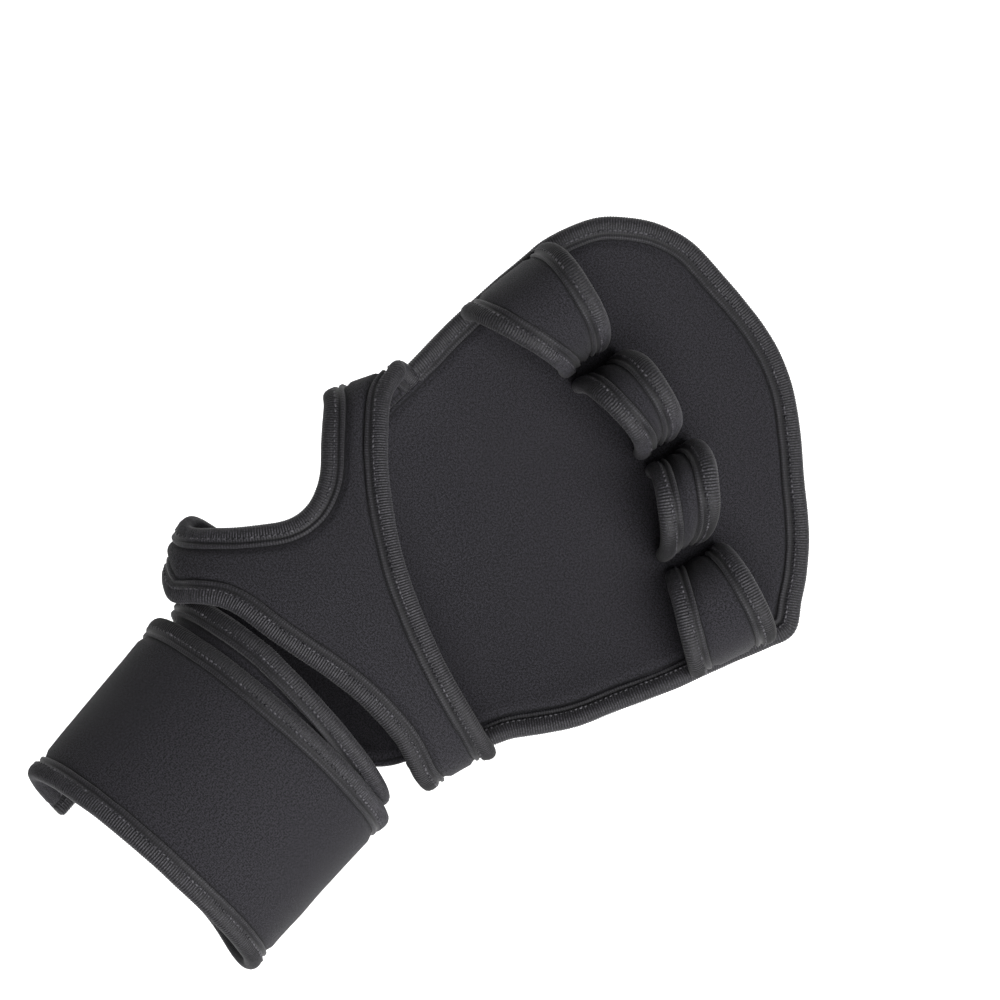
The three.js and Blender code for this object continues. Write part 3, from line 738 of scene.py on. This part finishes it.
def wave(tree, operation, turns):
    """The sine or cosine of a number of whole turns."""
    return math_node(tree, operation, math_node(tree, "MULTIPLY", turns, 2 * math.pi))


def split(tree, vector):
    """A vector's X, Y and Z."""
    node = tree.nodes.new("ShaderNodeSeparateXYZ")
    tree.links.new(vector, node.inputs[0])
    return node.outputs


def object_place(tree):
    """The place on the object, in metres."""
    return tree.nodes.new("ShaderNodeTexCoord").outputs["Object"]


def uv_place(tree, name):
    """The place on one of the mesh's two maps, in metres."""
    node = tree.nodes.new("ShaderNodeUVMap")
    node.uv_map = name
    return node.outputs["UV"]


def noise_node(tree, vector, scale, detail, roughness=0.5):
    """A noise texture's value over a vector."""
    node = tree.nodes.new("ShaderNodeTexNoise")
    node.inputs["Scale"].default_value = scale
    node.inputs["Detail"].default_value = detail
    node.inputs["Roughness"].default_value = roughness
    tree.links.new(vector, node.inputs["Vector"])
    return node.outputs["Fac"]


def bump_at(tree, place, middle, width):
    """1 where a length in metres is at the middle, falling to 0 over the width, both in millimetres."""
    away = math_node(tree, "ABSOLUTE", math_node(tree, "SUBTRACT", place, middle * MILLIMETRE))
    return math_node(tree, "SMOOTH_MAX", scaled(tree, away, -1 / (width * MILLIMETRE), 1), 0, 0.1)


def blend_colours(tree, share, first, second):
    """A mix of two colours by a share."""
    node = tree.nodes.new("ShaderNodeMix")
    node.data_type = "RGBA"
    sockets = [socket for socket in node.inputs if socket.enabled]
    for socket, value in zip(sockets, (share, first, second)):
        if isinstance(value, bpy.types.NodeSocket):
            tree.links.new(value, socket)
        else:
            socket.default_value = value
    return next(socket for socket in node.outputs if socket.enabled)


def jersey_group():
    """Knit jersey: chains of small V stitches. Puts out a height and a mask of the gaps between them."""
    group, given, result = node_group(
        "jersey_knit",
        [
            ("Vector", "NodeSocketVector", None),
            ("Wale", "NodeSocketFloat", WALE_PITCH),
            ("Course", "NodeSocketFloat", COURSE_PITCH),
        ],
        [("Height", "NodeSocketFloat"), ("Gaps", "NodeSocketFloat")],
    )
    parts = split(group, given.outputs["Vector"])
    wale = math_node(group, "DIVIDE", parts["X"], given.outputs["Wale"])
    fold = math_node(group, "PINGPONG", wale, 0.5)
    course = math_node(group, "DIVIDE", parts["Y"], given.outputs["Course"])
    slanted = math_node(group, "ADD", course, math_node(group, "MULTIPLY", fold, STITCH_SLANT))
    loops = scaled(group, wave(group, "SINE", slanted), 0.5, 0.5)
    ridge = math_node(group, "POWER", wave(group, "SINE", fold), RIDGE_POWER)
    height = math_node(group, "MULTIPLY", ridge, loops)
    group.links.new(height, result.inputs["Height"])
    group.links.new(math_node(group, "SUBTRACT", 1, height), result.inputs["Gaps"])
    return group


def lint_group():
    """Lint and handling: a soft cloudy mask, an uneven grain and fine pale fibres over a surface."""
    group, given, result = node_group(
        "lint",
        [("Vector", "NodeSocketVector", None)],
        [("Clouds", "NodeSocketFloat"), ("Grain", "NodeSocketFloat"), ("Fibres", "NodeSocketFloat")],
    )
    clouds = noise_node(group, given.outputs["Vector"], CLOUD_SCALE, 3)
    coarse = noise_node(group, given.outputs["Vector"], GRAIN_SCALE, 2, 0.8)
    grain = scaled(group, math_node(group, "SUBTRACT", coarse, 0.5), GRAIN_CONTRAST, 0.5)
    fine = noise_node(group, given.outputs["Vector"], FIBRE_SCALE, 1, 0.6)
    specks = math_node(group, "SMOOTH_MAX", math_node(group, "SUBTRACT", fine, FIBRE_CUT), 0, 0.04)
    group.links.new(clouds, result.inputs["Clouds"])
    group.links.new(grain, result.inputs["Grain"])
    group.links.new(math_node(group, "MULTIPLY", specks, FIBRE_CONTRAST), result.inputs["Fibres"])
    return group


def new_material(name, colour, roughness):
    """A material with its tree and its shader."""
    material = bpy.data.materials.new(name)
    material.use_nodes = True
    tree = material.node_tree
    shader = tree.nodes["Principled BSDF"]
    shader.inputs["Base Color"].default_value = (*colour, 1)
    shader.inputs["Roughness"].default_value = roughness
    return material, tree, shader


def placed_group(tree, group, vector):
    """A shared node group in a material's tree, over a vector."""
    node = tree.nodes.new("ShaderNodeGroup")
    node.node_tree = group
    tree.links.new(vector, node.inputs["Vector"])
    return node.outputs


def bump(tree, shader, heights):
    """Feeds a chain of bump nodes to the shader, one for each height, its distance and its strength."""
    normal = None
    for height, distance, strength in heights:
        node = tree.nodes.new("ShaderNodeBump")
        node.inputs["Distance"].default_value = distance
        node.inputs["Strength"].default_value = strength
        tree.links.new(height, node.inputs["Height"])
        if normal is not None:
            tree.links.new(normal, node.inputs["Normal"])
        normal = node.outputs["Normal"]
    tree.links.new(normal, shader.inputs["Normal"])


def neoprene_material(jersey, lint):
    """Black neoprene faced with fine matte jersey, with painted shade in the groove along its sewn edges."""
    material, tree, shader = new_material("black_neoprene", (0.02, 0.0195, 0.023), 0.85)
    cloth = uv_place(tree, "cloth")
    knit = placed_group(tree, jersey, cloth)
    wear = placed_group(tree, lint, cloth)
    dyed = blend_colours(tree, wear["Clouds"], DEEP_DYE, WORN_DYE)
    mottled = blend_colours(tree, wear["Grain"], GRAIN_DARK, dyed)
    # Painted shade in the gaps between the knit's stitches
    gaps = math_node(tree, "MULTIPLY", knit["Gaps"], KNIT_GAP_SHADE_SHARE)
    shaded = blend_colours(tree, gaps, mottled, KNIT_GAP_PAINTED_SHADE)
    linty = blend_colours(tree, wear["Fibres"], shaded, LINT_PALE)
    from_edge = split(tree, uv_place(tree, "from_edge"))["X"]
    # Painted shade along the groove by the sewn edges
    groove = bump_at(tree, from_edge, GROOVE_PLACE, GROOVE_WIDTH)
    groove_shaded = blend_colours(tree, math_node(tree, "MULTIPLY", groove, GROOVE_SHADE_SHARE), linty, GROOVE_PAINTED_SHADE)
    tree.links.new(groove_shaded, shader.inputs["Base Color"])
    tree.links.new(scaled(tree, wear["Clouds"], 0.16, 0.74), shader.inputs["Roughness"])
    shader.inputs["Specular IOR Level"].default_value = 0.3
    shader.inputs["Sheen Weight"].default_value = 0.05
    shader.inputs["Sheen Roughness"].default_value = 0.45
    bump(tree, shader, [(knit["Height"], 0.00012, 0.6), (wear["Fibres"], 0.0001, 0.4)])
    return material


def tape_material(lint):
    """Black binding tape: close cross ribs of twisted yarn with painted shade between them, and painted shade
    in the dip by its stitches.
    """
    material, tree, shader = new_material("ribbed_binding_tape", (0.016, 0.015, 0.018), 0.6)
    cloth = uv_place(tree, "cloth")
    wear = placed_group(tree, lint, cloth)
    round_tape, along_tape = split(tree, cloth)[:2]
    from_rim = math_node(tree, "PINGPONG", round_tape, TAPE_UNROLLED * MILLIMETRE / 2)
    dip = bump_at(tree, from_rim, DIP_PLACE, DIP_WIDTH)
    ribs = wave(tree, "COSINE", math_node(tree, "DIVIDE", along_tape, RIB_PITCH * MILLIMETRE))
    crowns = math_node(tree, "POWER", scaled(tree, ribs, 0.5, 0.5), RIB_POWER)
    yarn = wave(tree, "SINE", math_node(tree, "DIVIDE", round_tape, YARN_PITCH))
    woven = blend_colours(tree, wear["Grain"], TAPE_DARK, TAPE_PALE)
    # Painted shade in the gaps between the ribs
    ribbed = blend_colours(tree, crowns, RIB_GAP_PAINTED_SHADE, woven)
    # Painted shade in the dip behind the stitches
    shaded = blend_colours(tree, math_node(tree, "MULTIPLY", dip, DIP_SHADE_SHARE), ribbed, DIP_PAINTED_SHADE)
    linty = blend_colours(tree, wear["Fibres"], shaded, LINT_PALE)
    tree.links.new(linty, shader.inputs["Base Color"])
    tree.links.new(scaled(tree, wear["Clouds"], 0.2, 0.5), shader.inputs["Roughness"])
    shader.inputs["Specular IOR Level"].default_value = 0.4
    shader.inputs["Sheen Weight"].default_value = 0.1
    bump(tree, shader, [(yarn, 0.00003, 0.5), (wear["Fibres"], 0.00008, 0.4)])
    return material


def thread_material():
    """Black polyester thread, with random pale patches painted in as highlights."""
    material, tree, shader = new_material("sewing_thread", (0.03, 0.03, 0.033), 0.5)
    place = object_place(tree)
    twist = noise_node(tree, place, TWIST_SCALE, 1)
    # Random pale patches painted on as highlights, standing in for glints on the stitches
    glints = scaled(tree, noise_node(tree, place, GLINT_SCALE, 3), GLINT_CONTRAST, GLINT_SHIFT)
    tree.links.new(blend_colours(tree, glints, THREAD_DARK, THREAD_GLINT_PALE), shader.inputs["Base Color"])
    bump(tree, shader, [(twist, 0.00006, 0.5)])
    return material


def hook_material():
    """Black hook tape: rows of small stiff hooks on a woven ground."""
    material, tree, shader = new_material("hook_tape", (0.012, 0.012, 0.013), 0.6)
    cells = tree.nodes.new("ShaderNodeTexVoronoi")
    cells.inputs["Scale"].default_value = HOOK_SCALE
    tree.links.new(object_place(tree), cells.inputs["Vector"])
    hooks = math_node(tree, "SUBTRACT", 1, cells.outputs["Distance"])
    tree.links.new(blend_colours(tree, hooks, HOOK_DARK, HOOK_PALE), shader.inputs["Base Color"])
    tree.links.new(scaled(tree, hooks, -0.2, 0.7), shader.inputs["Roughness"])
    bump(tree, shader, [(hooks, 0.0003, 0.8)])
    return material


# Pieces

# Each sheet of cloth as it was cut flat: its width and length to the rim, the back strap's as far as its
# edging, and its area as far as its edging. The family is how its edgings' and stitches' names start.
Sheet = namedtuple("Sheet", "piece family width length area held rests_on")
JERSEY = jersey_group()
LINT = lint_group()
NEOPRENE = neoprene_material(JERSEY, LINT)
TAPE = tape_material(LINT)
THREAD = thread_material()
HOOKS = hook_material()


def keep(piece, slot, *nodes):
    """Puts a finished piece on the glove's body and hides the solids it stands for. Its finish is not used.
    """
    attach(piece, BODY)
    if nodes:
        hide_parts(*nodes)


def sew_edging(name, node, frames, stitches, seed, pressed=1):
    """Makes and keeps an edging, and adds the stitches on both of its faces to a list."""
    keep(binding(name, frames, pressed), "ribbed_tape", node)
    for face in (1, -1):
        stitch_row(stitches, frames, STITCHED.inward, face * STITCHED.height, seed)


def side_edge(side, start, end, count):
    """The pad's cut edge on one side, from one y to another."""
    ys = [mix(start, end, at / count) for at in range(count + 1)]
    return [palm_point(read_table(PALM_SIDES, side, y), y) for y in ys]


def outside_pad(points):
    """The middle line of the pad's edging, just outside its cut edge."""
    found = []
    for at, point in enumerate(points):
        ahead = neighbours(points, at)
        side = Vector((-ahead.y, ahead.x, 0))
        side = (side - ahead * side.dot(ahead)).normalized()
        found.append(palm_point(point.x + side.x * PAD_OUTSET, point.y + side.y * PAD_OUTSET))
    return found


def palm_frames(line):
    """Frames of the pad's edging, with its rim on the side away from the pad."""
    rims = []
    for at, point in enumerate(line):
        ahead = neighbours(line, at)
        side = Vector((-ahead.y, ahead.x, 0)).normalized()
        rims.append(point + palm_point(point.x + side.x, point.y + side.y)
                    - palm_point(point.x - side.x, point.y - side.y))
    return frames_along(line, rims)


def make_palm():
    """The pad with its flap, its edging and the cut-out's edging."""
    thumb_edge = side_edge("thumb_side", HEEL_Y, THUMB_CORNER_Y, PAD_EDGE_STEPS)
    little_edge = side_edge("little_side", HEEL_Y, LITTLE_CORNER_Y, PAD_EDGE_STEPS)
    over_flap = [palm_point(x, y) for x, y in FLAP_EDGE]
    flap_edge = smooth_curve([thumb_edge[-1], *over_flap, little_edge[-1]], PAD_EDGE_STEPS)
    heel_edge = [thumb_edge[0], little_edge[0]]
    flat = patch(along(heel_edge), along(flap_edge), along(thumb_edge), along(little_edge))

    def place(u, v):
        point = flat(u, v)
        return palm_point(point.x, point.y)

    mesh = new_mesh()
    grid_on(mesh, *PAD_STEPS, place, lambda u, v, point: (point.x, point.y))
    keep(neoprene_panel("palm_pad_cloth", mesh), "neoprene", "palm_pad")

    (_, thumb_end), (_, little_end) = RIM_ENDS["finger"]
    (_, web), (_, heel) = RIM_ENDS["thumb"]
    free_edge = [
        *side_edge("thumb_side", thumb_end - END_LAP, THUMB_CORNER_Y, THUMB_EDGE_STEPS),
        *flap_edge[FLAP_STEP:-FLAP_STEP:FLAP_STEP],
        *side_edge("little_side", LITTLE_CORNER_Y, little_end - END_LAP, LITTLE_EDGE_STEPS),
    ]
    cut_out = side_edge("thumb_side", heel - END_LAP, web + END_LAP, CUT_OUT_STEPS)
    stitches = []
    for name, node, line in (
        ("palm_edging", "palm_binding", free_edge),
        ("palm_thumb_edging", "palm_thumb_binding", cut_out),
    ):
        frames = palm_frames(smooth_curve(outside_pad(line), DENSE))
        sew_edging(name, node, frames, stitches, "palm")
    keep(thread_from("palm_stitches", stitches), "ribbed_tape")


def loop_point(loop, turn, reach):
    """A point of a finger loop: turn is 0 at its foot on the thumb side and 1 at the other, and reach is 0
    on its rear edge and 1 on its front edge."""
    angle = math.pi * (1 - turn)
    across = signed_power(math.cos(angle), 2 / LOOP_SHAPE)
    up = abs(math.sin(angle)) ** (2 / LOOP_SHAPE)
    ends = []
    for foot, inward in ((loop.left, 1), (loop.right, -1)):
        x = foot.x + inward * BINDING_THICKNESS / 2 + foot.lean * reach
        y = mix(foot.rear, foot.front, reach)
        ends.append((x, y, palm_point(x, y).z + CLOTH_THICKNESS / 2 + foot.seat - FOOT_SINK))
    x, y, foot_height = (mix(left, right, (across + 1) / 2) for left, right in zip(*ends))
    bow = mix(loop.rear_bow, loop.front_bow, reach) * up
    return Vector((x, y + bow, mix(foot_height, loop.crest, up)))


def make_loop(loop, stitches):
    """One finger loop: a band of neoprene with edging in front and behind."""
    def inside(turn, distance, front):
        width = (loop_point(loop, turn, 0) - loop_point(loop, turn, 1)).length
        share = distance / width
        return loop_point(loop, turn, 1 - share if front else share)

    middle = [tuple(loop_point(loop, at / GIRTH_STEPS, 0.5)) for at in range(GIRTH_STEPS + 1)]
    girth = lengths_along(np.array(middle))[-1]

    def place(u, v):
        return inside(v, CLOTH_INSET, False).lerp(inside(v, CLOTH_INSET, True), u)

    mesh = new_mesh()
    grid_on(mesh, *LOOP_STEPS, place, lambda u, v, point: (point.y, v * girth))
    keep(neoprene_panel(f"loop_{loop.name}_cloth", mesh), "neoprene", f"loop_{loop.name}")
    turns = [at / DENSE for at in range(DENSE + 1)]
    for edge in ("rear", "front"):
        front = edge == "front"
        centres = [inside(turn, BINDING_INSET, front) for turn in turns]
        rims = [inside(turn, 0, front) for turn in turns]
        name = f"loop_{loop.name}_{edge}_edging"
        node = f"binding_{edge}_{loop.name}"
        sew_edging(name, node, frames_along(centres, rims), stitches, name, SEWN_SHARE)


def make_loops():
    stitches = []
    for loop in LOOPS:
        make_loop(loop, stitches)
    keep(thread_from("loop_stitches", stitches), "ribbed_tape")


def pad_edge_on_hand(side, y):
    """A point on the back strap's seam, beside the pad's cut edge."""
    outward = 1 if side == "little_side" else -1
    return palm_point(read_table(PALM_SIDES, side, y) + outward * SEAM_GAP, y)


def rim(rows, ends, count):
    """A rim of the back strap, from its seam over the form's back to its other seam."""
    start, end = (pad_edge_on_hand(*place) for place in ends)
    over = [back_point(x, y) for x, y in rows]

    def round_side(first, last):
        turns = hand_angle(first), hand_angle(last)
        return [hand_point(mix(*turns, share), mix(first.y, last.y, share)) for share in SIDE_SHARES]

    points = [start, *round_side(start, over[0]), *over, *round_side(over[-1], end), end]
    return [on_hand(point) for point in smooth_curve(points, count)]


def moved(points, distance, steps=4):
    """A line moved over the form, to the left of the way that it runs."""
    found = []
    for at, point in enumerate(points):
        ahead = neighbours(points, at)
        for _ in range(steps):
            angle = hand_angle(point)
            lengthwise = hand_point(angle, point.y + 1) - hand_point(angle, point.y - 1)
            around = hand_point(angle + 1, point.y) - hand_point(angle - 1, point.y)
            side = lengthwise.cross(around).cross(ahead).normalized()
            point = on_hand(point + side * (distance / steps))
        found.append(point)
    return found


def out_of_form(point):
    """The direction out of the form's middle to a point beside it."""
    x, _, height = hand_section(point.y)[:3]
    return point - Vector((x, point.y, height))


def make_back_strap():
    """The forked back strap, its zigzag seams and its three edgings."""
    inward = {"finger": -1, "thumb": 1, "wrist": 1}
    rims = {
        name: rim(rows, RIM_ENDS[name], RIM_STEPS)
        for name, rows in (("finger", FINGER_RIM), ("thumb", THUMB_RIM), ("wrist", WRIST_RIM))
    }
    edges = {}
    for name, points in rims.items():
        line = moved(points, inward[name] * CLOTH_INSET)
        for at, (side, _) in zip((0, -1), RIM_ENDS[name]):
            line[at] = pad_edge_on_hand(side, line[at].y)
        edges[name] = along(line)
    fork = {name: edges[name](share) for name, share in FORK_SHARE.items()}

    def seam(side, start, end):
        return lambda share: pad_edge_on_hand(side, mix(start.y, end.y, share))

    def across_fork(share):
        if share < 0.5:
            return fork["wrist"].lerp(fork["thumb"], share * 2)
        return fork["thumb"].lerp(fork["finger"], share * 2 - 1)

    web_arm = patch(
        seam("thumb_side", edges["thumb"](0), edges["finger"](0)),
        lambda share: fork["thumb"].lerp(fork["finger"], share),
        lambda v: edges["thumb"](v * FORK_SHARE["thumb"]),
        lambda v: edges["finger"](v * FORK_SHARE["finger"]),
    )
    wrist_arm = patch(
        seam("thumb_side", edges["wrist"](0), edges["thumb"](1)),
        lambda share: fork["wrist"].lerp(fork["thumb"], share),
        lambda v: edges["wrist"](v * FORK_SHARE["wrist"]),
        lambda v: edges["thumb"](1 - v * (1 - FORK_SHARE["thumb"])),
    )
    little_arm = patch(
        across_fork,
        seam("little_side", edges["wrist"](1), edges["finger"](1)),
        lambda v: edges["wrist"](mix(FORK_SHARE["wrist"], 1, v)),
        lambda v: edges["finger"](mix(FORK_SHARE["finger"], 1, v)),
    )

    def unroll(u, v, point):
        drop = form_height(point.x, point.y, "back") - point.z
        return point.x + math.copysign(drop, point.x - hand_section(point.y)[0]), point.y

    mesh = new_mesh()
    for surface, steps in ((web_arm, ARM_STEPS), (wrist_arm, ARM_STEPS), (little_arm, LITTLE_ARM_STEPS)):
        grid_on(mesh, *steps, lambda u, v, surface=surface: on_hand(surface(u, v)), unroll)
    keep(neoprene_panel("back_strap_cloth", mesh), "neoprene", "back_strap")

    stitches = []
    for side, start, end in STRAP_SEAMS:
        ys = [mix(start, end, at / SEAM_STEPS) for at in range(SEAM_STEPS + 1)]
        line = [pad_edge_on_hand(side, y) for y in ys]
        seam_stitches(stitches, line, [out_of_form(point) for point in line], side)
    for name, points in rims.items():
        centres = moved(points, inward[name] * BINDING_INSET)
        frames = frames_along(centres, points)
        frames = frames_at(frames, np.linspace(0, lengths_along(frames[0])[-1], DENSE))
        sew_edging(f"back_{name}_edging", f"back_binding_{name}", frames, stitches, name)
    keep(thread_from("back_stitches", stitches), "ribbed_tape")


def make_wrap():
    """The wrist wrap in two turns, its long edgings and the edging across its free end."""
    girth = math.radians(WRAP_END - WRAP_START) * (WRAP_HALF_WIDTH + WRAP_HALF_DEPTH) / 2

    def place(u, v):
        return wrap_point(mix(WRAP_START, WRAP_END, v), mix(CLOTH_INSET, WRAP_LENGTH - CLOTH_INSET, u))

    mesh = new_mesh()
    grid_on(mesh, *WRAP_STEPS, place, lambda u, v, point: (u * WRAP_LENGTH, v * girth))
    keep(neoprene_panel("wrist_wrap_cloth", mesh), "neoprene", "wrist_wrap")

    def long_line(distance):
        shares = (at / (2 * DENSE) for at in range(2 * DENSE + 1))
        return [wrap_point(mix(WRAP_START, WRAP_END, share), distance) for share in shares]

    def end_line(turned):
        places = (WRAP_LENGTH * at / SEAM_STEPS for at in range(SEAM_STEPS + 1))
        return [wrap_point(WRAP_END + turned, distance) for distance in places]

    one_degree = (wrap_point(WRAP_END + 1, 0) - wrap_point(WRAP_END, 0)).length
    end_turn = (SEAM_GAP + BINDING_INSET) / one_degree
    lines = {
        "hand": (long_line(BINDING_INSET), long_line(0)),
        "arm": (long_line(WRAP_LENGTH - BINDING_INSET), long_line(WRAP_LENGTH)),
        "end": (end_line(end_turn), end_line(2 * end_turn)),
    }
    stitches = []
    for name, (centres, rims) in lines.items():
        frames = frames_along(centres, rims)
        sew_edging(f"wrap_{name}_edging", f"wrap_binding_{name}", frames, stitches, name)
    keep(thread_from("wrap_stitches", stitches), "ribbed_tape")


def finish_hook_patch():
    """The hidden hook patch keeps its solid and gets its hook tape."""
    patch_node = frame["nodes"]["hook_patch"]
    patch_node.data.materials.clear()
    patch_node.data.materials.append(HOOKS)


# Stage

def make_floor():
    """A pale floor well below the glove."""
    mesh = new_mesh()
    bmesh.ops.create_grid(mesh, x_segments=2, y_segments=2, size=FLOOR_SIZE / 2)
    for vertex in mesh.verts:
        vertex.co.z = FLOOR_HEIGHT
    material, tree, shader = new_material("pale_floor", (0.9, 0.9, 0.9), 0.8)
    paper = noise_node(tree, object_place(tree), PAPER_SCALE, 4)
    tree.links.new(blend_colours(tree, paper, PAPER_GREY, PAPER_PALE), shader.inputs["Base Color"])
    shader.inputs["Emission Color"].default_value = (1, 1, 1, 1)
    shader.inputs["Emission Strength"].default_value = FLOOR_GLOW
    object_from("floor", mesh, material)


def light_stage():
    """One large softbox on the little-finger side, in a dim room that is darker on the thumb side. To the
    camera the room looks white."""
    data = bpy.data.lights.new("softbox", "AREA")
    data.energy = SOFTBOX_POWER
    data.size = SOFTBOX_SIZE
    light = bpy.data.objects.new("softbox", data)
    light.location = SOFTBOX_PLACE
    light.rotation_euler = (SOFTBOX_AIM - SOFTBOX_PLACE).to_track_quat("-Z", "Y").to_euler()
    bpy.context.scene.collection.objects.link(light)

    world = bpy.data.worlds.new("studio")
    world.use_nodes = True
    tree = world.node_tree
    way = tree.nodes.new("ShaderNodeTexCoord").outputs["Generated"]
    room = scaled(tree, split(tree, way)["X"], *ROOM_LIGHT)
    seen = tree.nodes.new("ShaderNodeLightPath").outputs["Is Camera Ray"]
    background = tree.nodes["Background"]
    background.inputs["Color"].default_value = (1, 1, 1, 1)
    tree.links.new(math_node(tree, "MAXIMUM", room, seen), background.inputs["Strength"])
    bpy.context.scene.world = world
    bpy.context.scene.view_settings.view_transform = "Standard"


def make_camera():
    """Straight above the glove, turned so that its finger loops point up to the right."""
    right = Vector((math.sin(VIEW_TURN), math.cos(VIEW_TURN), 0))
    up = Vector((-math.cos(VIEW_TURN), math.sin(VIEW_TURN), 0))
    back = right.cross(up)
    data = bpy.data.cameras.new("camera")
    data.sensor_width = SENSOR_WIDTH
    data.lens = SENSOR_WIDTH * PIXELS_PER_MM * VIEW_DISTANCE / IMAGE_PIXELS
    camera = bpy.data.objects.new("camera", data)
    turn = Matrix((right, up, back)).transposed().to_4x4()
    camera.matrix_world = Matrix.Translation((VIEW_CENTRE + back * VIEW_DISTANCE) * MILLIMETRE) @ turn
    bpy.context.scene.collection.objects.link(camera)
    bpy.context.scene.camera = camera


make_camera()
make_floor()
light_stage()
make_palm()
make_loops()
make_back_strap()
make_wrap()
finish_hook_patch()
